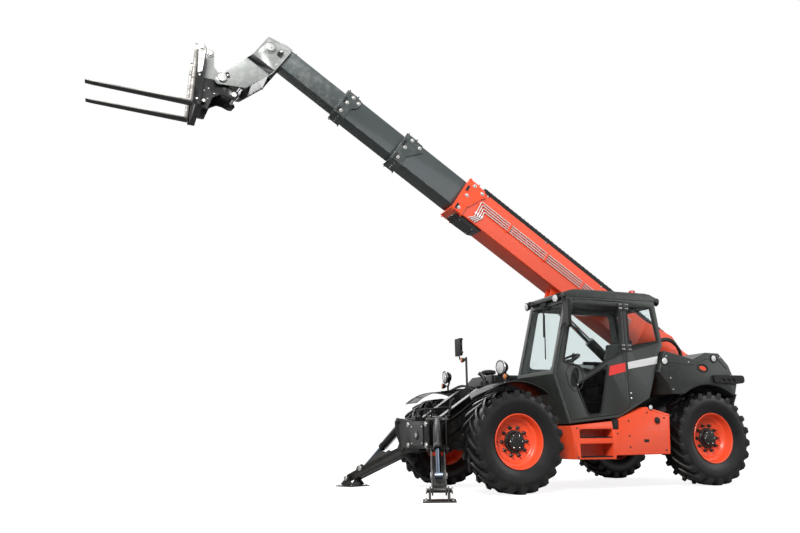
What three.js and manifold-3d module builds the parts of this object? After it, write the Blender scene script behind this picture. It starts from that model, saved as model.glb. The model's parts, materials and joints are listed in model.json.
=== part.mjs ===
// Telescopic handler with a four-section boom, pallet forks and front stabilisers.
// Lengths are in millimetres and angles in degrees. X points forward, Y to the
// operator's left and Z up. The ground is z = 0, and x = 0 is midway between the axles
// until the whole machine is moved to its reference point at the end.
import * as THREE from 'three';
import { mergeVertices } from 'three/addons/utils/BufferGeometryUtils.js';
import Module from 'manifold-3d';

const wasm = await Module();
wasm.setup();

// ---------- driving dimensions ----------
const seat = 0.3;               // gap left between pieces that touch
const running = 0.5;            // radial clearance of a pin in its hole

const wheelbase = 2980;
const track = 2066;
const tyreRadius = 612;
const tyreWidth = 408;
const beadRadius = 305;
const flangeRadius = 330;
const flangeInset = 19;         // from the tyre's side to the rim's flange
const kingpinInset = 130;       // from the wheel's middle to its kingpin
const axleTubeRadius = 85;
const archRadius = 708;

const frameHalf = 240;          // chassis side plates, outer face
const framePlate = 25;
const frameBottom = 470;
const frameTop = 1000;
const frameRear = -wheelbase / 2 - 890;
const frameFront = wheelbase / 2 + 600;

const bodyHalf = 1200;          // step tank and engine bay, outer face
const cabInner = frameHalf + 40;
const cabOuter = 1150;
const cabWall = 40;
const cabRoofZ = 2430;
const roofThick = 100;
const doorGap = 8;
const glassThick = 6;

const boomAngle = 33.2;
const pivotX = -wheelbase / 2 - 360;
const pivotZ = 1700;
const boomPinRadius = 45;
const headPinU = 7643;          // fork pivot, along and across the boom
const headPinN = -842;
const tiltPinU = 7443;
const tiltPinN = -6;
const linkX = -172;             // tilt link's pin, seen from the fork pivot
const linkZ = -177;
const forkTilt = 3;
const forkLength = 1200;
const forkSpacing = 540;

const liftPinU = 2150;
const liftPinN = -370;
const liftBaseX = pivotX + 250;
const liftBaseZ = 1051;

const legPivotX = frameFront + 137;
const legPivotY = 469;
const legPivotZ = 524;
const legSplay = 24;            // the legs point this far forward of sideways
const legLength = 1209;
const footPinZ = 115;
const ramPinS = 90;             // leg ram's upper pin, seen from the leg's pivot
const ramPinZ = 361;
const ramEye = 930;             // leg ram's eye, along the leg
const ramEyeRise = 50;

// ---------- paints and finishes ----------
const paint = (color, roughness, metalness) =>
  new THREE.MeshStandardMaterial({ color, roughness, metalness });
const orange = paint(0xff6a3c, 0.45, 0.1);
const darkGrey = paint(0x464b49, 0.5, 0.15);
const boomGrey = paint(0x55605f, 0.45, 0.3);
const headGrey = paint(0x8c918e, 0.4, 0.5);
const blackPaint = paint(0x1b1d1e, 0.55, 0.2);
const rubber = paint(0x161616, 0.85, 0);
const chrome = paint(0xc9ccd0, 0.15, 1);
const forkSteel = paint(0x8a8a86, 0.5, 0.7);
const glass = paint(0x2a3440, 0.05, 0);
const fabric = paint(0x242426, 0.9, 0);

// ---------- shapes ----------
const radians = THREE.MathUtils.degToRad;

function toSolid(geometry) {
  const bare = geometry.clone();
  bare.deleteAttribute('normal');
  bare.deleteAttribute('uv');
  const merged = mergeVertices(bare, 1e-3);
  return new wasm.Manifold(new wasm.Mesh({
    numProp: 3,
    vertProperties: new Float32Array(merged.attributes.position.array),
    triVerts: new Uint32Array(merged.index.array),
  }));
}

function toGeometry(solid) {
  const mesh = solid.getMesh();
  const geometry = new THREE.BufferGeometry();
  geometry.setAttribute('position', new THREE.BufferAttribute(mesh.vertProperties, 3));
  geometry.setIndex(new THREE.BufferAttribute(mesh.triVerts, 1));
  geometry.computeVertexNormals();
  return geometry;
}

function join(...shapes) {
  return toGeometry(shapes.map(toSolid).reduce((whole, piece) => whole.add(piece)));
}

function cut(shape, ...tools) {
  return toGeometry(tools.map(toSolid).reduce((rest, tool) => rest.subtract(tool), toSolid(shape)));
}

function common(shape, other) {
  return toGeometry(toSolid(shape).intersect(toSolid(other)));
}

// The solid that a sheet wrapped tightly round the given shapes would enclose.
function wrapped(...shapes) {
  return toGeometry(wasm.Manifold.hull(shapes.map(toSolid)));
}

function mirrored(shape) {
  const flipped = toSolid(shape).mirror([0, 1, 0]);
  return toGeometry(flipped);
}

function box(x0, x1, y0, y1, z0, z1) {
  return new THREE.BoxGeometry(x1 - x0, y1 - y0, z1 - z0)
    .translate((x0 + x1) / 2, (y0 + y1) / 2, (z0 + z1) / 2);
}

// Rounds the corners of an outline with arcs of one radius, or one radius per corner.
function rounded(points, radius, steps = 3) {
  const result = [];
  points.forEach(([x, y], i) => {
    const corner = new THREE.Vector2(x, y);
    const before = new THREE.Vector2(...points.at(i - 1)).sub(corner);
    const after = new THREE.Vector2(...points[(i + 1) % points.length]).sub(corner);
    const r = Array.isArray(radius) ? radius[i] : radius;
    const half = Math.acos(before.dot(after) / before.length() / after.length()) / 2;
    const reach = Math.min(r / Math.tan(half), before.length() / 2.05, after.length() / 2.05);
    if (r === 0) {
      result.push([x, y]);
      return;
    }
    const a = corner.clone().addScaledVector(before.normalize(), reach);
    const b = corner.clone().addScaledVector(after.normalize(), reach);
    for (let k = 0; k <= steps; k += 1) {
      const t = k / steps;
      const p = a.clone().multiplyScalar((1 - t) ** 2)
        .addScaledVector(corner, 2 * t * (1 - t))
        .addScaledVector(b, t ** 2);
      result.push([p.x, p.y]);
    }
  });
  return result;
}

// Moves every edge of an outline inwards by the same distance.
function inset(points, distance) {
  const turn = Math.sign(THREE.ShapeUtils.area(points.map(([x, y]) => ({ x, y }))));
  const edges = points.map(([x, y], i) => {
    const [nx, ny] = points[(i + 1) % points.length];
    const length = Math.hypot(nx - x, ny - y);
    const dx = (nx - x) / length;
    const dy = (ny - y) / length;
    return { x: x - turn * dy * distance, y: y + turn * dx * distance, dx, dy };
  });
  return edges.map((edge, i) => {
    const last = edges.at(i - 1);
    const cross = last.dx * edge.dy - last.dy * edge.dx;
    const along = ((edge.x - last.x) * edge.dy - (edge.y - last.y) * edge.dx) / cross;
    return [last.x + last.dx * along, last.y + last.dy * along];
  });
}

function slab(points, depth, holes = []) {
  const shape = new THREE.Shape(points.map(([x, y]) => new THREE.Vector2(x, y)));
  holes.forEach((hole) => {
    shape.holes.push(new THREE.Path(hole.map(([x, y]) => new THREE.Vector2(x, y))));
  });
  return new THREE.ExtrudeGeometry(shape, { depth, bevelEnabled: false });
}

// A plate seen from the side: its outline is in x and z, and it spans y0 to y1.
function sidePlate(points, y0, y1, holes = []) {
  return slab(points, y1 - y0, holes).rotateX(Math.PI / 2).translate(0, y1, 0);
}

// A plate seen from the front: its outline is in y and z, and it spans x0 to x1.
function frontPlate(points, x0, x1, holes = []) {
  const turn = new THREE.Matrix4().makeBasis(
    new THREE.Vector3(0, 1, 0), new THREE.Vector3(0, 0, 1), new THREE.Vector3(1, 0, 0));
  return slab(points, x1 - x0, holes).applyMatrix4(turn).translate(x0, 0, 0);
}

// Two equal side plates, one on each side of the middle.
function platePair(points, inner, outer, holes = []) {
  return [sidePlate(points, inner, outer, holes), sidePlate(points, -outer, -inner, holes)];
}

// A round bar between two points.
function bar(from, to, radius, sides = 20) {
  const a = new THREE.Vector3(...from);
  const b = new THREE.Vector3(...to);
  const along = b.clone().sub(a);
  const turn = new THREE.Quaternion().setFromUnitVectors(
    new THREE.Vector3(0, 1, 0), along.clone().normalize());
  return new THREE.CylinderGeometry(radius, radius, along.length(), sides)
    .applyQuaternion(turn).translate(...a.add(b).divideScalar(2).toArray());
}

// A round bar across the machine, at x and z.
const crossBar = (x, z, y0, y1, radius, sides = 20) => bar([x, y0, z], [x, y1, z], radius, sides);

function circle(x, y, radius, sides = 20) {
  return Array.from({ length: sides }, (_, i) => {
    const angle = (2 * Math.PI * i) / sides;
    return [x + radius * Math.cos(angle), y + radius * Math.sin(angle)];
  });
}

function arc(x, y, radius, from, to, steps) {
  return Array.from({ length: steps + 1 }, (_, i) => {
    const angle = radians(from + ((to - from) * i) / steps);
    return [x + radius * Math.cos(angle), y + radius * Math.sin(angle)];
  });
}

// A solid turned about the Y axis, from [radius, y] pairs.
function turned(profile, sides = 40) {
  return new THREE.LatheGeometry(profile.map(([r, y]) => new THREE.Vector2(r, y)), sides);
}

function part(name, geometry, material) {
  const mesh = new THREE.Mesh(geometry, material);
  mesh.name = name;
  return mesh;
}

function groupAt(x, y, z, ...children) {
  const group = new THREE.Group();
  group.position.set(x, y, z);
  children.forEach((child) => group.add(child));
  return group;
}

// ---------- wheels and axles ----------
const halfTyre = tyreWidth / 2;
const flangeY = halfTyre - flangeInset;
const hubFace = 30;             // inner face of the wheel disc, from the wheel's middle

function tyreShape() {
  const beadHalf = flangeY - 14;
  const sidewall = tyreRadius - flangeRadius;
  return turned([
    [beadRadius + seat, -beadHalf],
    [flangeRadius + 6, -beadHalf],
    [flangeRadius + sidewall * 0.25, -halfTyre + 6],
    [flangeRadius + sidewall * 0.5, -halfTyre],
    [tyreRadius - 37, -halfTyre + 12],
    [tyreRadius, -halfTyre + 34],
    [tyreRadius, halfTyre - 34],
    [tyreRadius - 37, halfTyre - 12],
    [flangeRadius + sidewall * 0.5, halfTyre],
    [flangeRadius + sidewall * 0.25, halfTyre - 6],
    [flangeRadius + 6, beadHalf],
    [beadRadius + seat, beadHalf],
    [beadRadius + seat, -beadHalf],
  ], 32);
}

// The wheel's outer side is +Y here.
function rimShape() {
  const lip = flangeY - 12;
  return turned([
    [0, hubFace],
    [150, hubFace],
    [250, hubFace + 32],
    [beadRadius - 14, hubFace + 30],
    [beadRadius - 14, -flangeY],
    [flangeRadius, -flangeY],
    [flangeRadius, -lip],
    [beadRadius, -lip],
    [beadRadius, lip],
    [flangeRadius, lip],
    [flangeRadius, flangeY],
    [beadRadius + 8, flangeY],
    [288, hubFace + 60],
    [255, hubFace + 44],
    [150, hubFace + 14],
    [132, hubFace + 44],
    [95, hubFace + 62],
    [88, hubFace + 92],
    [0, hubFace + 92],
  ], 32);
}

function knuckleShape(outward) {
  const reach = kingpinInset + hubFace - seat;
  const housing = crossBar(0, 0, -45, reach, 92, 20);
  const stub = bar([0, 0, -104], [0, 0, 104], 52, 20);
  const pins = bar([0, 0, -150], [0, 0, 150], 24, 16);
  const arm = box(-190, 0, -10, 30, -30, 20);
  const steerArm = join(housing, stub, pins, arm);
  return outward > 0 ? steerArm : mirrored(steerArm);
}

function axleShape() {
  const kingpinY = track / 2 - kingpinInset;
  const beamEnd = kingpinY - 96;
  const beam = turned([
    [0, -beamEnd], [axleTubeRadius, -beamEnd], [axleTubeRadius, -330], [110, -260],
    [150, -110], [150, 110], [110, 260], [axleTubeRadius, 330], [axleTubeRadius, beamEnd],
    [0, beamEnd],
  ], 24);
  const differential = bar([-215, 0, 0], [215, 0, 0], 118, 24);
  const pads = [1, -1].map((side) => {
    const y = side * (frameHalf - framePlate / 2);
    return box(-70, 70, y - 30, y + 30, 0, frameNotch - tyreRadius - seat);
  });
  const yokes = [1, -1].flatMap((side) => {
    const inner = side * (beamEnd - 24);
    const back = side * (beamEnd + 2);
    const outer = side * (kingpinY + 46);
    const span = (a, b) => [Math.min(a, b), Math.max(a, b)];
    return [
      box(-66, 66, ...span(inner, back), -150, 150),
      box(-50, 50, ...span(inner, outer), 112, 150),
      box(-50, 50, ...span(inner, outer), -150, -112),
    ];
  });
  const holes = [1, -1].map((side) =>
    bar([0, side * kingpinY, -170], [0, side * kingpinY, 170], 24 + running));
  return cut(join(beam, differential, ...pads, ...yokes), ...holes);
}

const frameNotch = 790;         // underside of the chassis over the axles

function axleSet(end, x) {
  const set = groupAt(x, 0, tyreRadius, part(`${end}_axle`, axleShape(), blackPaint));
  [['left', 1], ['right', -1]].forEach(([side, outward]) => {
    const kingpin = groupAt(0, outward * (track / 2 - kingpinInset), 0);
    kingpin.add(part(`${end}_knuckle_${side}`, knuckleShape(outward), blackPaint));
    const wheel = groupAt(0, outward * (track / 2), 0);
    wheel.rotation.z = outward > 0 ? 0 : Math.PI;
    wheel.add(part(`${end}_rim_${side}`, rimShape(), orange));
    wheel.add(part(`${end}_tyre_${side}`, tyreShape(), rubber));
    set.add(kingpin, wheel);
  });
  return set;
}

// ---------- chassis ----------
function chassisFrame() {
  const front = wheelbase / 2;
  const rear = -wheelbase / 2;
  const notch = 245;
  const outline = [
    [frameRear, 620], [frameRear, 1180], [pivotX - 250, pivotZ + 140], [pivotX - 90, pivotZ + 210],
    [pivotX + 90, pivotZ + 210], [pivotX + 240, pivotZ + 100], [liftBaseX + 300, 1180],
    [rear + 540, frameTop], [front + 90, frameTop], [front + 410, frameTop - 60],
    [frameFront - seat, 880], [frameFront - seat, 530],
    [front + notch + 90, frameBottom + 40], [front + notch, frameNotch], [front - notch, frameNotch],
    [front - notch - 90, frameBottom], [rear + notch + 90, frameBottom],
    [rear + notch, frameNotch], [rear - notch, frameNotch], [rear - notch - 90, 620],
  ];
  const holes = [
    circle(pivotX, pivotZ, boomPinRadius + running, 32),
  ];
  const plates = [1, -1].map((side) => {
    const y = side * (frameHalf - framePlate / 2);
    return sidePlate(outline, y - framePlate / 2, y + framePlate / 2, holes);
  });
  const inner = frameHalf - framePlate / 2;
  const cross = [
    box(-1080, 1080, -inner, inner, frameBottom, frameBottom + 20),
    box(900, 925, -inner, inner, frameBottom, frameTop - 40),
    box(-1080, -1055, -inner, inner, frameBottom, frameTop - 60),
    box(front + notch + 60, frameFront - seat, -inner, inner, 540, 565),
    box(frameFront - 25, frameFront - seat, -inner, inner, 540, 880),
    box(frameRear, rear - notch - 80, -inner, inner, 640, 1080),
    crossBar(liftBaseX, liftBaseZ, -inner, inner, 35),
    box(front - 60, front + 60, -inner, inner, frameNotch, frameNotch + 20),
    box(rear - 60, rear + 60, -inner, inner, frameNotch, frameNotch + 20),
  ];
  return part('chassis_frame', join(...plates, ...cross), orange);
}

function counterweight() {
  const outline = [
    [frameHalf + seat, 620], [620, 560], [720, 640], [720, 1120], [640, 1240],
    [frameHalf + seat, 1240],
  ];
  const wing = frontPlate(outline, frameRear + 20, frameRear + 220);
  const bridge = box(frameRear - 60, frameRear - seat, -720, 720, 600, 1150);
  const tie = box(frameRear - 60, frameRear + 40, frameHalf + seat, 620, 640, 1120);
  return part('counterweight', join(bridge, tie, mirrored(tie), wing, mirrored(wing)), darkGrey);
}

function sideStepTank() {
  const outline = [
    [740, 790], [130, 842], [118, 740], [20, 740], [8, 868], [-424, 1022], [-795, 930],
    [-757, 421], [90, 421], [98, 376], [695, 384],
  ];
  const body = sidePlate(outline, frameHalf + seat, bodyHalf);
  const steps = [[622, 130, 640, 742], [622, 130, 405, 570]].map(([x1, x0, z0, z1]) =>
    box(x0, x1, bodyHalf - 210, bodyHalf + 10, z0, z1));
  return part('side_step_tank', cut(body, ...steps), orange);
}

function rearBody(side) {
  const centre = -wheelbase / 2;
  const outer = [
    [800, 1480], [678, 1765], [208, 1660], [-18, 1756], [-248, 1751], [-404, 1589],
    [-435, 1513], [-520, 1325], [-470, 1175],
  ].map(([x, z]) => [centre + x, z]);
  const outline = [
    ...outer, ...arc(centre, tyreRadius, archRadius, 128, 55, 12),
    [centre + 610, 1192], [centre + 650, 1311],
  ];
  const inner = frameHalf + 90;
  const shape = sidePlate(outline, inner, bodyHalf);
  const shelf = box(centre - 410, centre + 590, frameHalf + seat, inner + 10, 1330, 1360);
  const whole = join(shape, shelf);
  return part(`rear_body_${side > 0 ? 'left' : 'right'}`, side > 0 ? whole : mirrored(whole), darkGrey);
}

// The left fender runs on in a straight nose, and the right one stops at the arch.
function frontFender(side) {
  const centre = wheelbase / 2;
  const thick = 6;
  const last = side > 0 ? 66 : 50;
  const nose = (side > 0 ? [[585, 1136], [760, 1032], [895, 916]] : [])
    .map(([x, z]) => [centre + x, z]);
  const noseBack = nose.map(([x, z]) => [x + 4, z + thick]).reverse();
  const lower = arc(centre, tyreRadius, archRadius, 128, last, 12);
  const upper = arc(centre, tyreRadius, archRadius + thick, last, 128, 12);
  const skin = sidePlate([...lower, ...nose, ...noseBack, ...upper], 830, 1240);
  const top = tyreRadius + archRadius;
  const shelf = box(centre - 120, centre + 55, frameHalf + seat, 850, top - 2, top + thick);
  const post = box(centre - 120, centre + 55, frameHalf + seat, frameHalf + 24, 880, top + thick);
  const whole = join(skin, shelf, post);
  const frame = legFrame(1);
  frame.updateMatrix();
  const legRoom = box(0, 1500, -legHalf - 30, 400, 0, 1200).applyMatrix4(frame.matrix);
  const shape = side > 0 ? cut(whole, legRoom) : mirrored(whole);
  return part(`front_fender_${side > 0 ? 'left' : 'right'}`, shape, darkGrey);
}

function engineBay() {
  const outline = [[740, 400], [740, 1080], [-760, 1080], [-757, 421], [-700, 400]];
  const shell = sidePlate(outline, -bodyHalf, -frameHalf - seat);
  const hollow = box(-640, 695, -bodyHalf + 40, -frameHalf - 40, 445, 1100);
  const wall = box(hoodRear, 735, -frameHalf - 30, -frameHalf - seat, 1000, 1500);
  const cheek = box(700, hoodFront - 20, -frameHalf - 30, -frameHalf - seat, 1270, 1500);
  return part('engine_bay', join(cut(shell, hollow), wall, cheek), orange);
}

const hoodHingeY = -frameHalf - 60;
const hoodHingeZ = 1530;
const hoodRear = -660;
const hoodFront = 1010;

function engineHood() {
  const section = [
    [hoodHingeY, hoodHingeZ], [-900, hoodHingeZ], [-1150, 1420], [-bodyHalf, 1080 + seat],
    [hoodHingeY, 1080 + seat],
  ];
  const inner = [
    [hoodHingeY + 30, hoodHingeZ - 30], [-888, hoodHingeZ - 30], [-1122, 1398],
    [-bodyHalf + 32, 1000], [hoodHingeY + 30, 1000],
  ];
  const shell = cut(frontPlate(section, hoodRear, hoodFront),
    frontPlate(inner, hoodRear + 30, hoodFront - 30));
  const wheelRoom = box(738, 1100, -1300, -200, 1000, 1262);
  return part('engine_hood', cut(shell, wheelRoom), darkGrey);
}

// ---------- cab ----------
const cabOutline = [
  [737, 816], [928, 1430], [655, cabRoofZ], [-745, cabRoofZ], [-823, 1844], [-748, 1700],
  [-535, 1140], [-33, 892],
];
const doorOutline = [
  [700, 858], [880, 1430], [615, 2395], [-205, 2395], [-205, 1022], [-40, 932],
];
const doorRounding = [20, 30, 130, 25, 60, 60];
const upperWindow = [
  [575, 2350], [-160, 2350], [-160, 1715], [80, 1622], [420, 1430], [545, 1535], [770, 1580],
];
const upperRounding = [110, 25, 40, 30, 20, 60, 20];
const lowerWindow = [[600, 1295], [80, 1570], [240, 932], [440, 912]];
const quarterWindow = [[-270, 2350], [-680, 2350], [-760, 1880], [-270, 1760]];
const rightWindow = [[560, 2350], [-640, 2350], [-700, 1560], [760, 1560]];
const doorThick = 38;

function cabFrame() {
  const shell = sidePlate(cabOutline, cabInner, cabOuter);
  const inside = sidePlate(inset(cabOutline, cabWall), cabInner + cabWall, cabOuter - cabWall);
  const openTop = box(-690, 600, cabInner + cabWall, cabOuter - cabWall, cabRoofZ - 100, cabRoofZ + 50);
  const doorway = sidePlate(rounded(inset(doorOutline, -doorGap), doorRounding),
    cabOuter - cabWall - 10, cabOuter + 10);
  const quarter = sidePlate(rounded(quarterWindow, 40), cabOuter - cabWall - 10, cabOuter + 10);
  const right = sidePlate(rounded(rightWindow, 60), cabInner - 10, cabInner + cabWall + 10);
  const front = box(560, 1000, cabInner + 60, cabOuter - 60, 1480, 2360);
  const back = box(-900, -640, cabInner + 60, cabOuter - 60, 1900, 2360);
  const hollow = cut(shell, inside, openTop, doorway, quarter, right, front, back);
  const pedestal = box(-480, 120, 480, 950, 850, 1290);
  const floor = box(-600, 760, cabInner + 20, 1080, 1090, 1120);
  const fittings = common(join(floor, pedestal), shell);
  return part('cab_frame', join(hollow, fittings), darkGrey);
}

function cabRoof() {
  const outline = [
    [700, cabRoofZ + seat], [690, cabRoofZ + 62], [560, cabRoofZ + roofThick],
    [-680, cabRoofZ + roofThick], [-770, cabRoofZ + 60], [-765, cabRoofZ + seat],
  ];
  return part('cab_roof', sidePlate(outline, cabInner, cabOuter), darkGrey);
}

// A pane that fills a window in the slanted front or rear of the cab.
function endPane(name, low, high, y0, y1) {
  const [dx, dz] = [high[0] - low[0], high[1] - low[1]];
  const length = Math.hypot(dx, dz);
  const nx = (dz / length) * glassThick;
  const nz = (-dx / length) * glassThick;
  const outline = [low, high, [high[0] + nx, high[1] + nz], [low[0] + nx, low[1] + nz]];
  return part(name, sidePlate(outline, y0, y1), glass);
}

function cabGlass() {
  const along = (a, b, z, out) => [a[0] + ((b[0] - a[0]) * (z - a[1])) / (b[1] - a[1]) + out, z];
  const [, sill, header, rearTop, rearBelt] = cabOutline;
  const y0 = cabInner + 60 + seat;
  const y1 = cabOuter - 60 - seat;
  const front = endPane('windscreen', along(sill, header, 1483, -20),
    along(sill, header, 2357, -20), y0, y1);
  const back = endPane('rear_glass', along(rearBelt, rearTop, 1903, 14),
    along(rearBelt, rearTop, 2357, 14), y0, y1);
  const pane = (name, outline, radius, outer) => part(name,
    sidePlate(rounded(inset(outline, seat), radius), outer - glassThick, outer), glass);
  return [
    front,
    back,
    pane('quarter_glass', quarterWindow, 40, cabOuter - 6),
    pane('right_glass', rightWindow, 60, cabInner + glassThick + 6),
  ];
}

function door() {
  const leaf = sidePlate(rounded(doorOutline, doorRounding), cabOuter - doorThick, cabOuter);
  const upper = sidePlate(rounded(upperWindow, upperRounding), cabOuter - 60, cabOuter + 10);
  const lower = sidePlate(rounded(lowerWindow, 20), cabOuter - 60, cabOuter + 10);
  const panel = cut(leaf, upper, lower);
  const hinges = [2340, 1795].map((z) => join(
    bar([doorHingeX, doorHingeY, z - 45], [doorHingeX, doorHingeY, z + 45], 12, 16),
    box(doorHingeX, -150, cabOuter + seat, cabOuter + 12, z - 40, z + 40),
    box(-200, -150, cabOuter - 4, cabOuter + 12, z - 40, z + 40)));
  const pane = (name, outline, radius) => part(name,
    sidePlate(rounded(inset(outline, seat), radius), cabOuter - 6 - glassThick, cabOuter - 6), glass);
  return [
    part('door_frame', join(panel, ...hinges), darkGrey),
    pane('door_glass_upper', upperWindow, upperRounding),
    pane('door_glass_lower', lowerWindow, 20),
  ];
}

const doorHingeX = -228;
const doorHingeY = cabOuter + 16;

function operatorSeat() {
  const outline = [
    [110, 1290 + seat], [130, 1400], [-250, 1400], [-430, 1960], [-530, 1950], [-400, 1290 + seat],
  ];
  return part('seat', sidePlate(rounded(outline, 35, 2), 490, 940), fabric);
}

function steeringColumn() {
  const lean = radians(28);
  const ring = new THREE.TorusGeometry(190, 16, 8, 24).rotateY(lean).translate(430, 715, 1640);
  const hub = bar([430, 715, 1640], [520, 715, 1470], 30, 16);
  const spokes = [0, 120, 240].map((turn) => {
    const rim = new THREE.Vector3(Math.cos(radians(turn)), Math.sin(radians(turn)), 0)
      .multiplyScalar(190).applyAxisAngle(new THREE.Vector3(0, 1, 0), lean);
    return bar([430, 715, 1640], [430 + rim.x, 715 + rim.y, 1640 + rim.z], 11, 10);
  });
  const console = sidePlate([[480, 1120 + seat], [620, 1120 + seat], [680, 1420], [620, 1500], [470, 1480]],
    620, 810);
  return part('steering_column', join(ring, hub, ...spokes, console), blackPaint);
}

// ---------- boom, in its own frame: x along the boom, z across it ----------
const sections = [
  { halfWidth: 172, low: -212, high: 288, wall: 12, from: -300, to: 4100 },
  { halfWidth: 148, low: -172, high: 256, wall: 9, from: 850, to: 5200 },
  { halfWidth: 125, low: -136, high: 222, wall: 8, from: 1650, to: 6200 },
  { halfWidth: 103, low: -112, high: 184, wall: 8, from: 2450, to: 7300 },
];
const collarLength = 180;

function boxTube({ halfWidth, low, high, wall }, from, to) {
  const outer = box(from, to, -halfWidth, halfWidth, low, high);
  const inner = box(from - 1, to + 1, -halfWidth + wall, halfWidth - wall, low + wall, high - wall);
  return cut(outer, inner);
}

// The collar at a section's mouth holds the wear pads that carry the next section.
function collar(index, from, grow) {
  const own = sections[index];
  const next = sections[index + 1];
  const outer = box(from, from + collarLength, -own.halfWidth - grow, own.halfWidth + grow,
    own.low - grow, own.high + grow);
  const mouth = box(from - 10, from + collarLength + 10, -next.halfWidth - seat,
    next.halfWidth + seat, next.low - seat, next.high + seat);
  return cut(outer, mouth);
}

function boomBase() {
  const own = sections[0];
  const tube = boxTube(own, own.from, own.to);
  const rib = cut(box(own.to - 140, own.to, -own.halfWidth + 2, own.halfWidth - 2, own.low + 2, own.high - 2),
    box(own.to - 150, own.to + 10, -150, 150, -174, 258));
  const root = [
    [own.from, own.low + 20], [own.from, 110], [-150, 210], [0, 275], [213, 362], [620, 300],
    [700, own.high - 10], [700, own.low + 20],
  ];
  const cheeks = [sidePlate(root, 160, 186), sidePlate(root, -186, -160)];
  const boss = crossBar(0, 0, -frameHalf + framePlate + 6, frameHalf - framePlate - 6, 80, 32);
  const pin = crossBar(0, 0, -frameHalf - 22, frameHalf + 22, boomPinRadius, 32);
  const lug = [
    [liftPinU - 130, own.low + 1], [liftPinU - 62, liftPinN - 30], [liftPinU, liftPinN - 62],
    [liftPinU + 62, liftPinN - 30], [liftPinU + 120, own.low + 1],
  ];
  const lugs = platePair(lug, 58, 76);
  return part('boom_base', join(tube, rib, collar(0, own.to - 80, 24), boss, pin, ...lugs, ...cheeks),
    orange);
}

function innerSection(index) {
  const own = sections[index];
  const tube = boxTube(own, own.from, own.to);
  return part(`boom_section_${index + 1}`, join(tube, collar(index, own.to - 80, 18)), boomGrey);
}

function lastSection() {
  const own = sections[3];
  return part('boom_section_4', boxTube(own, own.from, own.to), boomGrey);
}

const headNarrow = [118, 146];  // side plates beside the boom, inner and outer faces
const headWide = [200, 226];    // side plates beside the fork pivot

function boomHead() {
  const own = sections[3];
  const upper = [[7203, 142], [7204, -59], [7212, -238], [7563, -248], [7555, 116]];
  const lower = [
    [7226, -388], [7351, -750], [7587, -905], [7649, -950], [7705, -925], [7732, -850],
    [7690, -765], [7600, -500], [7580, -386],
  ];
  const side = [
    sidePlate(rounded(upper, [10, 3, 3, 3, 14], 2), ...headNarrow),
    wrapped(sidePlate([[7212, -238], [7563, -248], [7563, -244], [7212, -234]], ...headNarrow),
      sidePlate([[7225, -390], [7580, -390], [7580, -386], [7225, -386]], ...headWide)),
    sidePlate(rounded(lower, [3, 60, 12, 30, 30, 30, 10, 12, 3], 2), ...headWide),
  ];
  const sleeve = cut(
    box(7210, own.to + 34, -headNarrow[0] - 1, headNarrow[0] + 1, own.low - 10, own.high + 10),
    box(7000, own.to + 100, -own.halfWidth - seat, own.halfWidth + seat, own.low - seat,
      own.high + seat));
  const cover = sidePlate([[own.to + 8, 60], [own.to + 8, 190], [7555, 128], [7555, 106]],
    -headNarrow[0] - 2, headNarrow[0] + 2);
  const belly = sidePlate([[7231, -392], [7318, -642], [7332, -636], [7246, -392]],
    -headWide[0] - 2, headWide[0] + 2);
  const pins = [
    crossBar(headPinU, headPinN, -headWide[1] - 24, headWide[1] + 24, 38),
    crossBar(tiltPinU, tiltPinN, -headNarrow[1] - 10, headNarrow[1] + 10, 32),
    crossBar(tiltPinU, tiltPinN, headNarrow[0], headNarrow[1] + 4, 72, 24),
    crossBar(tiltPinU, tiltPinN, -headNarrow[1] - 4, -headNarrow[0], 72, 24),
  ];
  return part('boom_head', join(sleeve, ...side, ...side.map(mirrored), cover, belly, ...pins), headGrey);
}

// A hydraulic cylinder from its base pin at the origin towards +X, with its eyes.
function ramBarrel(radius, length, eyeRadius, eyeHalf, pinRadius, rodRadius) {
  const tube = bar([eyeRadius * 0.6, 0, 0], [length, 0, 0], radius);
  const bore = bar([eyeRadius + 30, 0, 0], [length + 1, 0, 0], rodRadius + seat);
  const eye = crossBar(0, 0, -eyeHalf, eyeHalf, eyeRadius);
  const hole = crossBar(0, 0, -eyeHalf - 50, eyeHalf + 50, pinRadius + running);
  return cut(join(tube, eye), bore, hole);
}

function ramRod(radius, from, to, eyeRadius, eyeHalf, pinRadius, pinHalf) {
  const rod = bar([from, 0, 0], [to, 0, 0], radius);
  const eye = crossBar(to, 0, -eyeHalf, eyeHalf, eyeRadius);
  return pinRadius ? join(rod, eye, crossBar(to, 0, -pinHalf, pinHalf, pinRadius)) : join(rod, eye);
}

function ramAt(x, y, z, dx, dz, ...pieces) {
  const group = groupAt(x, y, z, ...pieces);
  group.rotation.y = -Math.atan2(dz, dx);
  return group;
}

const cosBoom = Math.cos(radians(boomAngle));
const sinBoom = Math.sin(radians(boomAngle));
const liftPinX = pivotX + liftPinU * cosBoom - liftPinN * sinBoom;
const liftPinZ = pivotZ + liftPinU * sinBoom + liftPinN * cosBoom;
const forkPivotX = pivotX + headPinU * cosBoom - headPinN * sinBoom;
const forkPivotZ = pivotZ + headPinU * sinBoom + headPinN * cosBoom;

function liftRam() {
  const dx = liftPinX - liftBaseX;
  const dz = liftPinZ - liftBaseZ;
  const span = Math.hypot(dx, dz);
  return ramAt(liftBaseX, 0, liftBaseZ, dx, dz,
    part('lift_cylinder_barrel', ramBarrel(72, 1480, 70, 70, 35, 42), blackPaint),
    part('lift_cylinder_rod', ramRod(42, span - 1380, span, 50, 44), chrome));
}

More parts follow.
